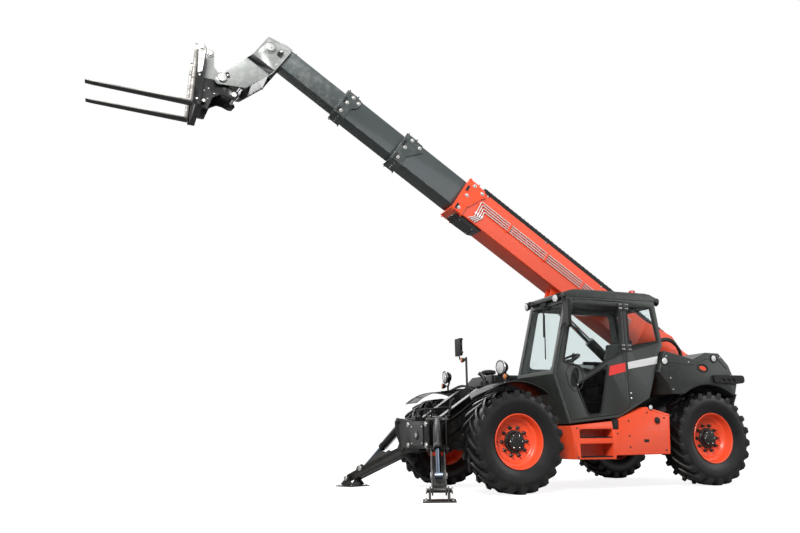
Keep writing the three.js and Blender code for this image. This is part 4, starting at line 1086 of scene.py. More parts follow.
headliner = newShape()
addPrism(headliner, rounded([(0.57, 0.35), (0.57, 1.08), (-0.66, 1.08), (-0.66, 0.35)], 0.05, 3),
         2.412, 2.428, "floor")
finishPiece("cab_headliner", headliner, blackPlastic, edge=0.004)
print("cab ready")

# the operator's seat: two padded cushions on a shell
seatCushions = {
    "seat_base": {"outline": [(0.105, 1.385), (0.112, 1.475), (-0.29, 1.47), (-0.3, 1.365)], "y": (0.5, 0.93),
                  "cap": 0.024},
    "seat_back": {"outline": [(-0.262, 1.46), (-0.235, 1.43), (-0.375, 1.905), (-0.455, 1.915), (-0.40, 1.6)],
                  "y": (0.505, 0.925), "cap": 0.022},
}
cushionCloth = {"voxel": 0.006, "quickVoxel": 0.0132, "mass": 0.3, "pressure": 4, "quality": 5, "frames": 20}
cushionChannel = {"at": 0.115, "half": 0.012, "depth": 0.007}  # sewn channels either side of the middle


def swellCushion(name, s):
    shape = newShape()
    addPrism(shape, rounded(s["outline"], 0.03, 3), s["y"][0] + 0.012, s["y"][1] - 0.012)
    bmesh.ops.recalc_face_normals(shape, faces=shape.faces)
    shape.transform(machineFrame)
    mesh = bpy.data.meshes.new(name)
    shape.to_mesh(mesh)
    shape.free()
    pad = bpy.data.objects.new(name, mesh)
    bpy.context.scene.collection.objects.link(pad)
    remesh = pad.modifiers.new("voxels", "REMESH")
    remesh.mode = "VOXEL"
    remesh.voxel_size = cushionCloth["voxel"]
    bpy.context.view_layer.update()
    graph = bpy.context.evaluated_depsgraph_get()
    fine = bpy.data.meshes.new_from_object(pad.evaluated_get(graph))
    pad.modifiers.clear()
    pad.data = fine
    start = [v.co.copy() for v in fine.vertices]
    cloth = pad.modifiers.new("swell", "CLOTH")
    cloth.settings.quality = cushionCloth["quality"]
    cloth.settings.mass = cushionCloth["mass"]
    cloth.settings.use_pressure = True
    cloth.settings.uniform_pressure_force = cushionCloth["pressure"]
    cloth.settings.effector_weights.gravity = 0
    scene = bpy.context.scene
    for number in range(1, cushionCloth["frames"] + 1):
        scene.frame_set(number)
    graph = bpy.context.evaluated_depsgraph_get()
    swollen = bpy.data.meshes.new_from_object(pad.evaluated_get(graph))
    pad.modifiers.clear()
    pad.data = swollen
    for vertex, origin in zip(swollen.vertices, start):
        move = vertex.co - origin
        if move.length > s["cap"]:
            vertex.co = origin + move.normalized() * s["cap"]
    scene.frame_set(1)
    mesh = pad.data
    low = Vector([min(v.co[i] for v in mesh.vertices) for i in range(3)])
    high = Vector([max(v.co[i] for v in mesh.vertices) for i in range(3)])
    centreY = (low.y + high.y) / 2
    for vertex in mesh.vertices:
        away = abs(vertex.co.y - centreY)
        groove = max(0.0, 1 - abs(away - cushionChannel["at"]) / cushionChannel["half"])
        inward = Vector((0, 0, -1)) if name == "seat_base" else Vector((-1, 0, 0))
        vertex.co += inward * groove * cushionChannel["depth"]
    for face in mesh.polygons:
        face.use_smooth = True
    mesh.materials.clear()
    mesh.materials.append(seatCloth)
    subdivision = pad.modifiers.new("fine", "SUBSURF")
    subdivision.levels = 1
    subdivision.render_levels = 1
    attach(pad, "chassis")
    return pad


seatPads = [swellCushion(name, s) for name, s in seatCushions.items()]
seatShell = newShape()
addPrism(seatShell, rounded([(0.07, 1.34), (0.09, 1.372), (-0.31, 1.352), (-0.455, 1.9), (-0.52, 1.94),
                             (-0.53, 1.9), (-0.41, 1.33)], 0.02, 3), 0.53, 0.90)
addPrism(seatShell, rounded([(0.04, 1.292), (0.05, 1.345), (-0.36, 1.34), (-0.37, 1.292)], 0.012, 3),
         0.56, 0.87)
for y in (0.472, 0.958):  # armrests
    addPrism(seatShell, rounded([(-0.03, 1.62), (-0.01, 1.665), (-0.33, 1.665), (-0.36, 1.62)], 0.02, 3),
             y - 0.022, y + 0.022)
    addPipe(seatShell, bentPath([(-0.34, y, 1.64), (-0.4, y, 1.6), (-0.43, min(max(y, 0.53), 0.9), 1.56)],
                                0.03), 0.012, 10)
finishPiece("seat_shell", seatShell, blackPlastic, edge=0.006)
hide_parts("seat")
print("seat ready")

# boom: trim in the boom's own frame, x along it and z across
sections = [
    {"half": 0.172, "low": -0.212, "high": 0.288, "mouth": 4.2, "back": 1.0, "body": "boom",
     "paint": orangePaint, "slot": "orange"},
    {"half": 0.148, "low": -0.172, "high": 0.256, "mouth": 5.3, "back": 0.95, "body": "boom_2",
     "paint": boomPaint, "slot": "boom_grey"},
    {"half": 0.125, "low": -0.136, "high": 0.222, "mouth": 6.3, "back": 0.5, "body": "boom_3",
     "paint": boomPaint, "slot": "boom_grey"},
]
for index, s in enumerate(sections):
    trim = newShape()
    grow = 0.024 if index == 0 else 0.018
    side, low, high, mouth = s["half"] + grow, s["low"] - grow, s["high"] + grow, s["mouth"] - 0.08
    start = mouth - 0.1
    for way in (1, -1):
        # gusset plate that runs back from the collar, with a notch between its two pads
        run = s["back"]  # how far the gusset may reach towards the next collar
        plate = [(start - 0.17 * run, high - 0.10), (start - 0.11 * run, high - 0.02),
                 (start + 0.165, high - 0.004), (start + 0.165, low + 0.004),
                 (start + 0.02, low + 0.004), (start + 0.01, low + 0.14), (start - 0.03 * run, low + 0.19),
                 (start - 0.12 * run, high - 0.16)]
        face = sideSpan(way, s["half"] - 0.001, side + 0.004)
        addPrism(trim, rounded(plate, 0.018, 3), face[0], face[1])
        for u, n in ((start - 0.09 * run, high - 0.08), (start + 0.06, high - 0.055),
                     (start + 0.09, (low + high) / 2 + 0.02), (start + 0.1, low + 0.06)):
            spot = Vector((u, way * (side + 0.004), n))
            addTurned(trim, [(0, 0), (0.028, 0), (0.028, 0.005), (0.017, 0.006), (0.016, 0.011), (0, 0.011)],
                      spot, (0, way, 0), 20, 1)
            addBolt(trim, spot + Vector((0, way * 0.0105, 0)), (0, way, 0), 0.0105, 1)
        for n0 in (low + 0.02, high - 0.2):  # adjuster blocks and shims
            addBlock(trim, (start + 0.115, start + 0.15), sideSpan(way, side + 0.003, side + 0.012),
                     (n0, n0 + 0.09), 2)
    # ears that stand on the collar's corners
    for u in (start + 0.006, start + 0.152):
        for way in (1, -1):
            addPrism(trim, rounded([(way * (side - 0.06), high - 0.002), (way * (side + 0.012), high - 0.002),
                                    (way * (side + 0.012), high + 0.012),
                                    (way * (side - 0.03), high + 0.038)], 0.008, 2),
                     u - 0.008, u + 0.008, "front")
            addPrism(trim, rounded([(way * (side - 0.05), low + 0.002), (way * (side + 0.012), low + 0.002),
                                    (way * (side + 0.012), low - 0.012), (way * (side - 0.03), low - 0.03)],
                                   0.008, 2), u - 0.008, u + 0.008, "front")
    for y in (-0.08, 0.0, 0.08):
        addBolt(trim, (start + 0.08, y, high), (0, 0, 1), 0.011, 1)
        addBolt(trim, (start + 0.08, y, low), (0, 0, -1), 0.011, 1)
    finishPiece(f"boom_collar_trim_{index + 1}", trim, (s["paint"], boltSteel, blackPaint), s["body"],
                boomFrame, 0.002)
    # weld seam along both lower edges
    seam = newShape()
    back = [0.9, 1.2, 1.9][index]
    for way in (1, -1):
        addPipe(seam, [(u, way * (s["half"] - 0.004), s["low"] + 0.004) for u in (back, start - 0.02)],
                0.006, 8)
    finishPiece(f"boom_seam_{index + 1}", seam, s["paint"], s["body"], boomFrame)

# hose trough along the top of the base section
trough = newShape()
band = [(-0.158, 0.287), (-0.158, 0.358), (-0.14, 0.372), (0.14, 0.372), (0.158, 0.358), (0.158, 0.287)]
addPrism(trough, band, 0.32, 3.92, "front")
for k in range(46):
    u = 0.36 + k * 0.078
    addPrism(trough, [(-0.162, 0.289), (-0.162, 0.361), (-0.142, 0.377), (0.142, 0.377), (0.162, 0.361),
                      (0.162, 0.289)], u, u + 0.012, "front")
for u in (0.5, 1.6, 2.7, 3.8):
    for way in (1, -1):
        addBlock(trough, (u, u + 0.05), sideSpan(way, 0.13, 0.1725), (0.27, 0.3), 1)
        addBolt(trough, (u + 0.025, way * 0.1725, 0.277), (0, way, 0), 0.009, 2)
finishPiece("boom_hose_trough", trough, (blackPlastic, blackPaint, boltSteel), "boom", boomFrame,
            0.003)

# four steel lines with clamps on both sides of the base section
for way, label in ((1, "left"), (-1, "right")):
    lines = newShape()
    face = 0.172 + 0.014
    for k in range(4):
        n = 0.135 - 0.036 * k
        far = 3.87 - 0.036 * k
        path = [(0.95, way * face, n), (far, way * face, n), (far - 0.02, way * face, -0.13 + 0.02 * k),
                (far + 0.05, way * face, -0.2)]
        addPipe(lines, bentPath(path, 0.028), 0.0085)
    for u in (1.2, 1.9, 2.6, 3.3):
        addBlock(lines, (u, u + 0.028), sideSpan(way, 0.171, face + 0.013), (0.008, 0.154), 1)
        addBolt(lines, (u + 0.014, way * (face + 0.013), 0.081), (0, way, 0), 0.007, 1)
    for k in range(4):
        u = 3.86 - 0.036 * k
        addBar(lines, (u, way * face, -0.05), (u - 0.004, way * face, -0.09), 0.0135, 6, 0, 0.002)
    finishPiece(f"boom_lines_{label}", lines, (silverPlate, orangePaint), "boom", boomFrame)

# cover under the mouth and the lift cylinder's bosses
under = newShape()
addPrism(under, rounded([(3.62, -0.213), (3.72, -0.262), (4.02, -0.272), (4.1, -0.25), (4.1, -0.213)],
                        0.02, 3), -0.14, 0.14)
for y in (-0.1, 0.1):
    for u in (3.76, 3.98):
        addBolt(under, (u, y, -0.266), (0, 0, -1), 0.01, 1)
finishPiece("boom_under_cover", under, (blackPaint, boltSteel), "boom", boomFrame, 0.004)

rootTrim = newShape()
liftPinU, liftPinN = 2.15, -0.37
for way in (1, -1):
    addTurned(rootTrim, [(0, 0), (0.078, 0), (0.078, 0.006), (0.07, 0.01), (0.046, 0.01), (0.044, 0.016),
                         (0, 0.016)], (0, way * 0.2625, 0), (0, way, 0), 40)
    for k in range(4):
        a = pi / 4 + pi / 2 * k
        addBolt(rootTrim, (0.06 * cos(a), way * 0.27, 0.06 * sin(a)), (0, way, 0), 0.008, 1)
    addRing(rootTrim, 0.05, 0.072, 0.008, 0.01, (liftPinU, way * 0.076, liftPinN), (0, way, 0))
    addBar(rootTrim, (liftPinU, way * 0.07, liftPinN), (liftPinU, way * 0.094, liftPinN), 0.034, 28, 1, 0.004)
    addBolt(rootTrim, (liftPinU, way * 0.094, liftPinN), (0, way, 0), 0.012, 1)
finishPiece("boom_pin_caps", rootTrim, (orangePaint, boltSteel), "boom", boomFrame, 0.0015)

# stop blocks ahead of the collars on the tops of the inner sections
topStops = (("boom_2", 0.135, 0.256, 5.03, 5.1), ("boom_3", 0.112, 0.222, 6.03, 6.1),
            ("boom_4", 0.09, 0.184, 7.05, 7.15))
for index, (body, half, high, start, end) in enumerate(topStops):
    tops = newShape()
    for way in (1, -1):
        addBlock(tops, (start, end), sideSpan(way, half - 0.05, half), (high - 0.001, high + 0.008))
        addBolt(tops, ((start + end) / 2, way * (half - 0.025), high + 0.008), (0, 0, 1), 0.009, 1)
    addBlock(tops, (end - 0.02, end), (-half, half), (high - 0.001, high + 0.014))
    finishPiece(f"boom_top_stops_{index + 2}", tops, (blackPaint, boltSteel), body, boomFrame, 0.002)

# boom head
head = newShape()
tiltPinU, tiltPinN = 7.443, -0.006
for way in (1, -1):
    # ring weld and pin boss at the tilt cylinder's base
    addTurned(head, [(0, 0), (0.05, 0), (0.053, 0.004), (0.05, 0.009), (0.03, 0.011), (0, 0.011)],
              (tiltPinU, way * 0.156, tiltPinN), (0, way, 0), 32, 1)
    addRing(head, 0.076, 0.086, 0.004, 0.006, (tiltPinU, way * 0.146, tiltPinN), (0, way, 0), 40)
    addBolt(head, (tiltPinU, way * 0.166, tiltPinN), (0, way, 0), 0.012, 1)
    # black clamp block with its bolt
    addPrism(head, rounded([(7.27, -0.035), (7.33, -0.03), (7.325, 0.05), (7.265, 0.045)], 0.012, 3),
             *sideSpan(way, 0.145, 0.182), "side", 2)
    addBolt(head, (7.298, way * 0.182, 0.03), (0, way, 0), 0.017, 1)
    addBolt(head, (7.245, way * 0.146, -0.15), (0, way, 0), 0.012, 1)
    # fork pin cap with its locking tab
    addTurned(head, [(0, 0), (0.052, 0), (0.055, 0.005), (0.05, 0.012), (0.034, 0.014), (0, 0.014)],
              (7.643, way * 0.248, -0.842), (0, way, 0), 36, 1)
    addPrism(head, rounded([(7.60, -0.80), (7.66, -0.755), (7.63, -0.72), (7.575, -0.765)], 0.01, 3),
             *sideSpan(way, 0.225, 0.236), "side", 2)
    addBolt(head, (7.613, way * 0.236, -0.762), (0, way, 0), 0.011, 1)
    # weld lines where the plates flare
    for n in (-0.24, -0.388):
        addPipe(head, [(7.218, way * (0.146 if n > -0.3 else 0.2265), n),
                       (7.575, way * (0.146 if n > -0.3 else 0.2265), n)], 0.004, 8)
finishPiece("boom_head_trim", head, (headPaint, boltSteel, blackPaint), "boom_4", boomFrame,
            0.0015)

headLines = newShape()
for k in range(3):
    y = -0.05 + 0.05 * k
    addPipe(headLines, smoothPath([(7.32, y, 0.165), (7.45, y * 1.1, 0.14), (7.535, y * 1.4, 0.05),
                                   (7.548, y * 1.6, -0.12), (7.545, y * 1.8, -0.3), (7.53, y * 1.8, -0.42)],
                                  5), 0.0105)
    addBar(headLines, (7.29, y, 0.17), (7.345, y, 0.16), 0.015, 6, 1, 0.002)
finishPiece("boom_head_lines", headLines, (sealRubber, pipeSteel), "boom_4", boomFrame)

# quick hitch, carriage and forks
hitch = newShape()
for way in (1, -1):
    addTurned(hitch, [(0, 0), (0.034, 0), (0.036, 0.003), (0.032, 0.0065), (0, 0.007)],
              (-0.172, way * 0.1915, -0.177), (0, way, 0), 32, 1)
    addTurned(hitch, [(0, 0), (0.03, 0), (0.033, 0.003), (0.03, 0.008), (0, 0.009)],
              (0.176, way * 0.2, 0.328), (0, way, 0), 32, 1)
    addRing(hitch, 0.034, 0.05, 0.012, 0.014, (0.176, way * 0.182, 0.328), (0, way, 0))
    # black lower brackets and locking pins
    addPrism(hitch, rounded([(0.03, -0.19), (0.12, -0.2), (0.2, -0.1), (0.234, -0.1), (0.234, -0.425),
                             (0.14, -0.425), (0.09, -0.26), (0.02, -0.215)], 0.015, 3),
             *sideSpan(way, 0.181, 0.191), "side", 2)
    addBar(hitch, (0.2, way * 0.186, -0.36), (0.2, way * 0.245, -0.36), 0.024, 24, 2, 0.004)
    addTurned(hitch, [(0, 0), (0.02, 0), (0.022, 0.004), (0, 0.005)], (0.2, way * 0.245, -0.36), (0, way, 0),
              24, 1)
    for x, z in ((0.075, -0.215), (0.15, -0.16), (0.2, -0.2), (0.15, -0.3)):
        addBolt(hitch, (x, way * 0.191, z), (0, way, 0), 0.0085, 1)
for k in range(2):
    y = 0.07 - 0.14 * k
    addPipe(hitch, smoothPath([(0.205, y, -0.02), (0.15, y, -0.04), (0.1, y * 1.1, -0.13),
                               (0.15, y * 1.2, -0.23), (0.205, y * 1.2, -0.26)], 5), 0.0095, 10, 3)
finishPiece("quick_hitch_trim", hitch, (headPaint, boltSteel, blackPaint, sealRubber),
            "carriage", forkFrame, 0.002)

frameTrim = newShape()
for way in (1, -1):
    # bright outer cheek of the fork frame and the shaft's end ring
    addPrism(frameTrim, rounded([(0.262, -0.02), (0.318, -0.06), (0.337, 0.335), (0.275, 0.345),
                                 (0.244, 0.3)], 0.012, 3), *sideSpan(way, 0.3505, 0.3545))
    addTurned(frameTrim, [(0, 0), (0.027, 0), (0.034, 0.003), (0.034, 0.012), (0.028, 0.016), (0, 0.016)],
              (0.305, way * 0.361, 0.3), (0, way, 0), 32, 1)
    addRing(frameTrim, 0.03, 0.05, 0.007, 0.009, (0.305, way * 0.3545, 0.3), (0, way, 0), 32, 1)
    for z in (0.15, -0.08, -0.4):
        addBolt(frameTrim, (0.29, way * 0.3545, z), (0, way, 0), 0.012, 1)
for y in (-0.13, 0.0, 0.13):
    addPrism(frameTrim, rounded([(0.262, -0.38), (0.3, -0.38), (0.276, 0.12), (0.262, 0.12)], 0.006, 2),
             y - 0.012, y + 0.012, "side", 2)
for y in (-0.16, 0.16):
    for z in (-0.3, -0.05, 0.25):
        addBolt(frameTrim, (0.26, y, z), (1, 0, 0), 0.013, 1)
finishPiece("fork_frame_trim", frameTrim, (bladeSteel, boltSteel, blackPaint), "carriage", forkFrame,
            0.002)

for side, y in (("left", 0.27), ("right", -0.27)):
    forkTrim = newShape()
    addBar(forkTrim, (0.355, y, 0.302), (0.355, y, 0.372), 0.009, 14, 1, 0.002)
    addTurned(forkTrim, [(0, 0), (0.017, 0.0), (0.02, 0.006), (0.017, 0.014), (0, 0.016)], (0.355, y, 0.365),
              (0, 0, 1), 20, 1)
    for way in (1, -1):  # keeper rings beside the hook on the shaft
        addRing(forkTrim, 0.0285, 0.042, 0.012, 0.012, (0.305, y + way * 0.0355, 0.3), (0, way, 0), 28, 1)
    # lighter steel strip on the blade's top, a painted highlight on its lit face, and a rounded heel
    addPrism(forkTrim, rounded([(0.44, y - 0.044), (1.50, y - 0.044), (1.565, y - 0.03), (1.565, y + 0.03),
                                (1.50, y + 0.044), (0.44, y + 0.044)], 0.01, 3), -0.4151, -0.4147, "floor")
    finishPiece(f"fork_{side}_trim", forkTrim, (bladeSteel, boltSteel), "carriage", forkFrame,
                0.0)
print("boom and forks ready")

# fenders, front shelf and lamps
for side, way in sides:
    easedNode(f"front_fender_{side}", blackPlastic, 0.0015)
    lip = newShape()
    arch = [radians(128 - 2 * k) for k in range(40)]
    wheelX, wheelZ = wheelFront.x - datum, wheelFront.z
    addPipe(lip, [(wheelX + 0.711 * cos(a), way * 1.236, wheelZ + 0.711 * sin(a)) for a in arch], 0.0085, 10)
    addPipe(lip, [(wheelX + 0.7155 * cos(a), way * 1.16, wheelZ + 0.7155 * sin(a)) for a in arch], 0.0045, 8)
    for k in range(5):
        a = radians(122 - 15 * k)
        addBolt(lip, (wheelX + 0.714 * cos(a), way * 1.205, wheelZ + 0.714 * sin(a)), (cos(a), 0, sin(a)),
                0.0095, 1)
        addPipe(lip, [(wheelX + 0.716 * cos(a), way * y, wheelZ + 0.716 * sin(a)) for y in (0.9, 1.13)],
                0.004, 8)
    # stay under the wing, from the axle's shoulder
    addPipe(lip, bentPath([(1.49, way * 0.5, 1.305), (1.49, way * 0.84, 1.305), (1.49, way * 0.95, 1.322)],
                          0.04), 0.017, 12)
    finishPiece(f"front_fender_lip_{side}", lip, (blackPlastic, boltSteel))

easedNode("mirror_mast", blackPlastic, 0.004)
mastFace = newShape()
addPrism(mastFace, rounded([(-0.645, 1.822), (-0.475, 1.822), (-0.475, 2.058), (-0.645, 2.058)], 0.02, 3),
         1.3665, 1.3678, "front")
finishPiece("mast_mirror_face", mastFace, mirrorFace)
mastTrim = newShape()
for z in (1.845, 2.03):
    addRing(mastTrim, 0.0165, 0.026, 0.022, 0.022, (1.4, -0.44, z), (0, 0, 1), 20)
addTurned(mastTrim, [(0, 0), (0.05, 0), (0.05, 0.006), (0.018, 0.012), (0, 0.012)], (1.4, -0.3, 1.326),
          (0, 0, 1), 24)
addLamp(mastTrim, (1.435, -0.38, 1.735), (1, 0, -0.12), 0.034, 0.05)
finishPiece("mirror_mast_trim", mastTrim, (blackPlastic, lampAmber))

for side, way in sides:
    lamps = newShape()
    y = 0.83 * way
    addLamp(lamps, (1.5, y, 1.525), (1, 0.1 * way, -0.05), 0.086, 0.1)
    addTurned(lamps, [(0.086, 0), (0.094, 0.003), (0.094, 0.02), (0.086, 0.024)], (1.474, y, 1.5265),
              (1, 0.1 * way, -0.05), 40, 2, True)
    addPipe(lamps, bentPath([(1.445, y, 1.325), (1.445, y, 1.4), (1.42, y, 1.45), (1.42, y, 1.5)], 0.03),
            0.014, 12)
    addTurned(lamps, [(0, 0), (0.045, 0), (0.045, 0.008), (0.02, 0.014), (0, 0.014)], (1.445, y, 1.322),
              (0, 0, 1), 24)
    addPipe(lamps, bentPath([(1.445, y, 1.4), (1.45, y + 0.05 * way, 1.4), (1.45, y + 0.09 * way, 1.405)],
                            0.02), 0.009)
    finishPiece(f"head_lamp_{side}", lamps, (blackPlastic, lampClear, pipeSteel))
    flash = newShape()
    addLamp(flash, (1.49, y + 0.1 * way, 1.405), (1, 0.2 * way, 0), 0.038, 0.055)
    finishPiece(f"turn_lamp_{side}", flash, (blackPlastic, lampAmber))
    # service lines that run over the shelf into the frame
    wires = newShape()
    for k in range(3):
        addPipe(wires, smoothPath([(1.42, way * (0.8 - 0.02 * k), 1.34), (1.3, way * (0.66 - 0.03 * k),
                1.4 - 0.01 * k), (1.2, way * (0.42 - 0.02 * k), 1.33),
                                   (1.16, way * 0.27, 1.18 - 0.03 * k)], 5), 0.009, 8)
    finishPiece(f"shelf_wires_{side}", wires, sealRubber)

# hood, engine bay and exhaust
hoodTrim = newShape()
addTurned(hoodTrim, [(0, 0), (0.05, 0), (0.05, 0.035), (0.095, 0.045), (0.105, 0.06), (0.105, 0.085),
                     (0.09, 0.1), (0.03, 0.112), (0, 0.112)], (0.834, -0.7, 1.525), (0, 0, 1), 36)
for k in range(18):
    a = 2 * pi * k / 18
    addBar(hoodTrim, (0.834 + 0.104 * cos(a), -0.7 + 0.104 * sin(a), 1.578), (0.834 + 0.104 * cos(a),
            -0.7 + 0.104 * sin(a), 1.618), 0.004, 6)
for k in range(9):  # louvres on the sloping shoulder
    x = 0.05 + 0.07 * k
    addPrism(hoodTrim, rounded([(x, -0.93), (x + 0.045, -0.93), (x + 0.045, -1.11), (x, -1.11)], 0.012, 2),
             0, 0.012, "floor")
for vertex in hoodTrim.verts:
    if vertex.co.y < -0.9 and vertex.co.z < 0.1:
        vertex.co.z += 1.528 - (abs(vertex.co.y) - 0.9) * 0.44
finishPiece("hood_intake", hoodTrim, (blackPlastic,), "hood", machineFrame, 0.0015)

sideVents = newShape()
for k in range(11):  # slats on the upright flank
    z = 1.13 + 0.021 * k
    y = -1.2 + (z - 1.08) * 0.147
    addPrism(sideVents, rounded([(-0.12, z), (0.62, z), (0.62, z + 0.011), (-0.12, z + 0.011)], 0.004, 2),
             y - 0.007, y + 0.01)
finishPiece("hood_side_vents", sideVents, blackPlastic, "hood", machineFrame, 0.001)

hoodGear = newShape()
for x in (-0.45, 0.2, 0.85):
    addBar(hoodGear, (x - 0.06, -0.287, 1.536), (x + 0.06, -0.287, 1.536), 0.012, 14, 0, 0.003)
    addPrism(hoodGear, rounded([(x - 0.045, -0.29), (x + 0.045, -0.29), (x + 0.03, -0.37), (x - 0.03, -0.37)],
                               0.01, 2), 1.5295, 1.536, "floor")
    for dx in (-0.022, 0.022):
        addBolt(hoodGear, (x + dx, -0.335, 1.536), (0, 0, 1), 0.007, 1)
addBlock(hoodGear, (0.1, 0.22), (-1.207, -1.192), (1.09, 1.13))
finishPiece("hood_hinges", hoodGear, (blackPaint, boltSteel), "hood", machineFrame, 0.002)

exhaust = newShape()
addPipe(exhaust, bentPath([(0.68, -0.42, 1.2), (0.86, -0.36, 1.24), (1.09, -0.36, 1.24), (1.09, -0.36, 1.5),
                           (1.14, -0.42, 1.56)], 0.06, 6), 0.028, 18)
addTurned(exhaust, [(0.03, 0), (0.052, 0.015), (0.056, 0.03), (0.056, 0.15), (0.052, 0.165), (0.03, 0.18)],
          (1.09, -0.36, 1.28), (0, 0, 1), 32, 1)
for k in range(10):
    a = 2 * pi * k / 10
    addBar(exhaust, (1.09 + 0.056 * cos(a), -0.36 + 0.056 * sin(a), 1.32), (1.09 + 0.056 * cos(a),
            -0.36 + 0.056 * sin(a), 1.43), 0.005, 8, 1, 0.002)
finishPiece("exhaust_stack", exhaust, (blackPaint, blackPlastic))

# sloping cheeks between the shelf and the stabiliser bracket
for side, way in sides:
    nose = newShape()
    slope = [(1.02, 1.3), (1.36, 1.318), (1.52, 1.312), (2.11, 0.93), (2.12, 0.86), (2.0, 0.66), (1.8, 0.8),
             (1.2, 0.86), (1.02, 0.95)]
    addPrism(nose, rounded(slope, 0.03, 3), *sideSpan(way, 0.246, 0.262))
    addPrism(nose, [(1.36, 1.318), (1.52, 1.314), (2.11, 0.932), (2.102, 0.918), (1.516, 1.299),
                    (1.36, 1.303)], *sideSpan(way, 0.248, 0.345))
    for x, z in ((1.1, 1.24), (1.1, 1.02), (1.62, 1.16), (1.95, 0.95), (2.03, 0.8), (1.5, 0.92)):
        addBolt(nose, (x, way * 0.262, z), (0, way, 0), 0.0105, 1)
    addPipe(nose, [(1.36, way * 0.345, 1.311), (1.518, way * 0.345, 1.306), (2.106, way * 0.345, 0.925)],
            0.008, 8)
    hose = [(1.3, 1.2), (1.55, 1.16), (1.85, 0.96), (2.1, 0.82)]
    addPipe(nose, smoothPath([(x, way * 0.285, z) for x, z in hose], 5), 0.0095, 8, 2)
    finishPiece(f"nose_cheek_{side}", nose, (blackPaint, boltSteel, sealRubber), edge=0.0015)

bayTrim = newShape()
for x0 in (-0.62, 0.0):  # framed grilles low on the engine side
    outer = rounded([(x0, 0.52), (x0 + 0.56, 0.52), (x0 + 0.56, 0.98), (x0, 0.98)], 0.03, 3)
    inner = rounded([(x0 + 0.03, 0.55), (x0 + 0.53, 0.55), (x0 + 0.53, 0.95), (x0 + 0.03, 0.95)], 0.02, 3)
    addFrameBand(bayTrim, outer, inner, -1.212, -1.199)
    for k in range(15):
        z = 0.57 + 0.026 * k
        addPrism(bayTrim, [(x0 + 0.025, z), (x0 + 0.535, z), (x0 + 0.535, z + 0.012),
                           (x0 + 0.025, z + 0.012)], -1.209, -1.1995)
    for dx, dz in ((0.015, 0.535), (0.545, 0.535), (0.015, 0.965), (0.545, 0.965)):
        addBolt(bayTrim, (x0 + dx, -1.212, dz), (0, -1, 0), 0.008, 1)
finishPiece("engine_side_grilles", bayTrim, (blackPlastic, boltSteel), edge=0.001)

# rear bodywork
for side, way in sides:
    rear = newShape()
    skin = sideSpan(way, 1.1995, 1.2035)
    port = ellipse(-1.434, 1.545, 0.085, 0.05, 36, 0.25)
    addFrameBand(rear, ellipse(-1.434, 1.545, 0.097, 0.062, 36, 0.25), port, *sideSpan(way, 1.1985, 1.209))
    addPrism(rear, port, *skin, "side", 1)
    addPrism(rear, ellipse(-1.434, 1.54, 0.06, 0.03, 30, 0.25), *sideSpan(way, 1.2, 1.2045), "side", 2)
    # panel creases and fastener rows
    addPipe(rear, [(x, way * 1.2005, z)
                   for x, z in ((-0.83, 1.62), (-1.25, 1.585), (-1.5, 1.67), (-1.7, 1.68), (-1.86, 1.54))],
            0.006, 8)
    for x, z in ((-0.83, 1.69), (-1.2, 1.62), (-1.76, 1.69), (-1.92, 1.45), (-0.87, 1.4), (-0.9, 1.25)):
        addBolt(rear, (x, way * 1.2, z), (0, way, 0), 0.0095, 3)
    arch = [radians(126 - 1.8 * k) for k in range(40)]
    addPipe(rear, [(-1.49 + 0.713 * cos(a), way * 1.197, wheelRear.z + 0.713 * sin(a))
                   for a in arch], 0.010, 10, 1)
    finishPiece(f"rear_body_trim_{side}", rear, (hoodPaint, blackPlastic, orangePaint, boltSteel),
                edge=0.0015)
    # round lamp, lamp bar and flap
    tail = newShape()
    addRing(tail, 0.045, 0.057, 0.014, 0.018, (-1.639, way * 1.199, 1.679), (0, way, 0))
    addTurned(tail, [(0, 0), (0.046, 0), (0.044, 0.009), (0.03, 0.014), (0, 0.016)],
              (-1.639, way * 1.199, 1.679), (0, way, 0), 32, 1)
    bar = rounded([(-1.59, 1.452), (-1.6, 1.352), (-1.98, 1.332), (-2.1, 1.345), (-2.13, 1.37), (-2.13, 1.43),
                   (-2.1, 1.452)], 0.02, 3)
    addPrism(tail, bar, *sideSpan(way, 1.196, 1.232))
    addPrism(tail, rounded([(-2.0, 1.345), (-2.12, 1.36), (-2.12, 1.44), (-2.0, 1.45)], 0.02, 3),
             *sideSpan(way, 0.93, 1.225))
    for y, finish in ((1.175, 2), (1.075, 1), (0.985, 3)):
        addTurned(tail, [(0, 0), (0.036, 0), (0.036, 0.008), (0.02, 0.014), (0, 0.015)],
                  (-2.12, way * y, 1.4), (-1, 0, 0), 28, finish)
        addRing(tail, 0.036, 0.043, 0.012, 0.014, (-2.12, way * y, 1.4), (-1, 0, 0), 28)
    for k in range(3):
        addPipe(tail, smoothPath([(-1.72 - 0.09 * k, way * 1.225, 1.42), (-1.76 - 0.09 * k, way * 1.24, 1.4),
                                  (-1.78 - 0.09 * k, way * 1.23, 1.36)], 4), 0.007, 8)
    finishPiece(f"tail_lamps_{side}", tail, (blackPlastic, lampClear, lampRed, lampAmber), edge=0.002)
    flap = newShape()
    addPrism(flap, [(-1.97, 1.19), (-1.955, 1.196), (-1.90, 1.09), (-1.80, 0.955), (-1.797, 0.94),
                    (-1.806, 0.94), (-1.91, 1.075)], *sideSpan(way, 0.84, 1.22), "side")
    finishPiece(f"rear_mud_flap_{side}", flap, sealRubber, edge=0.0015)

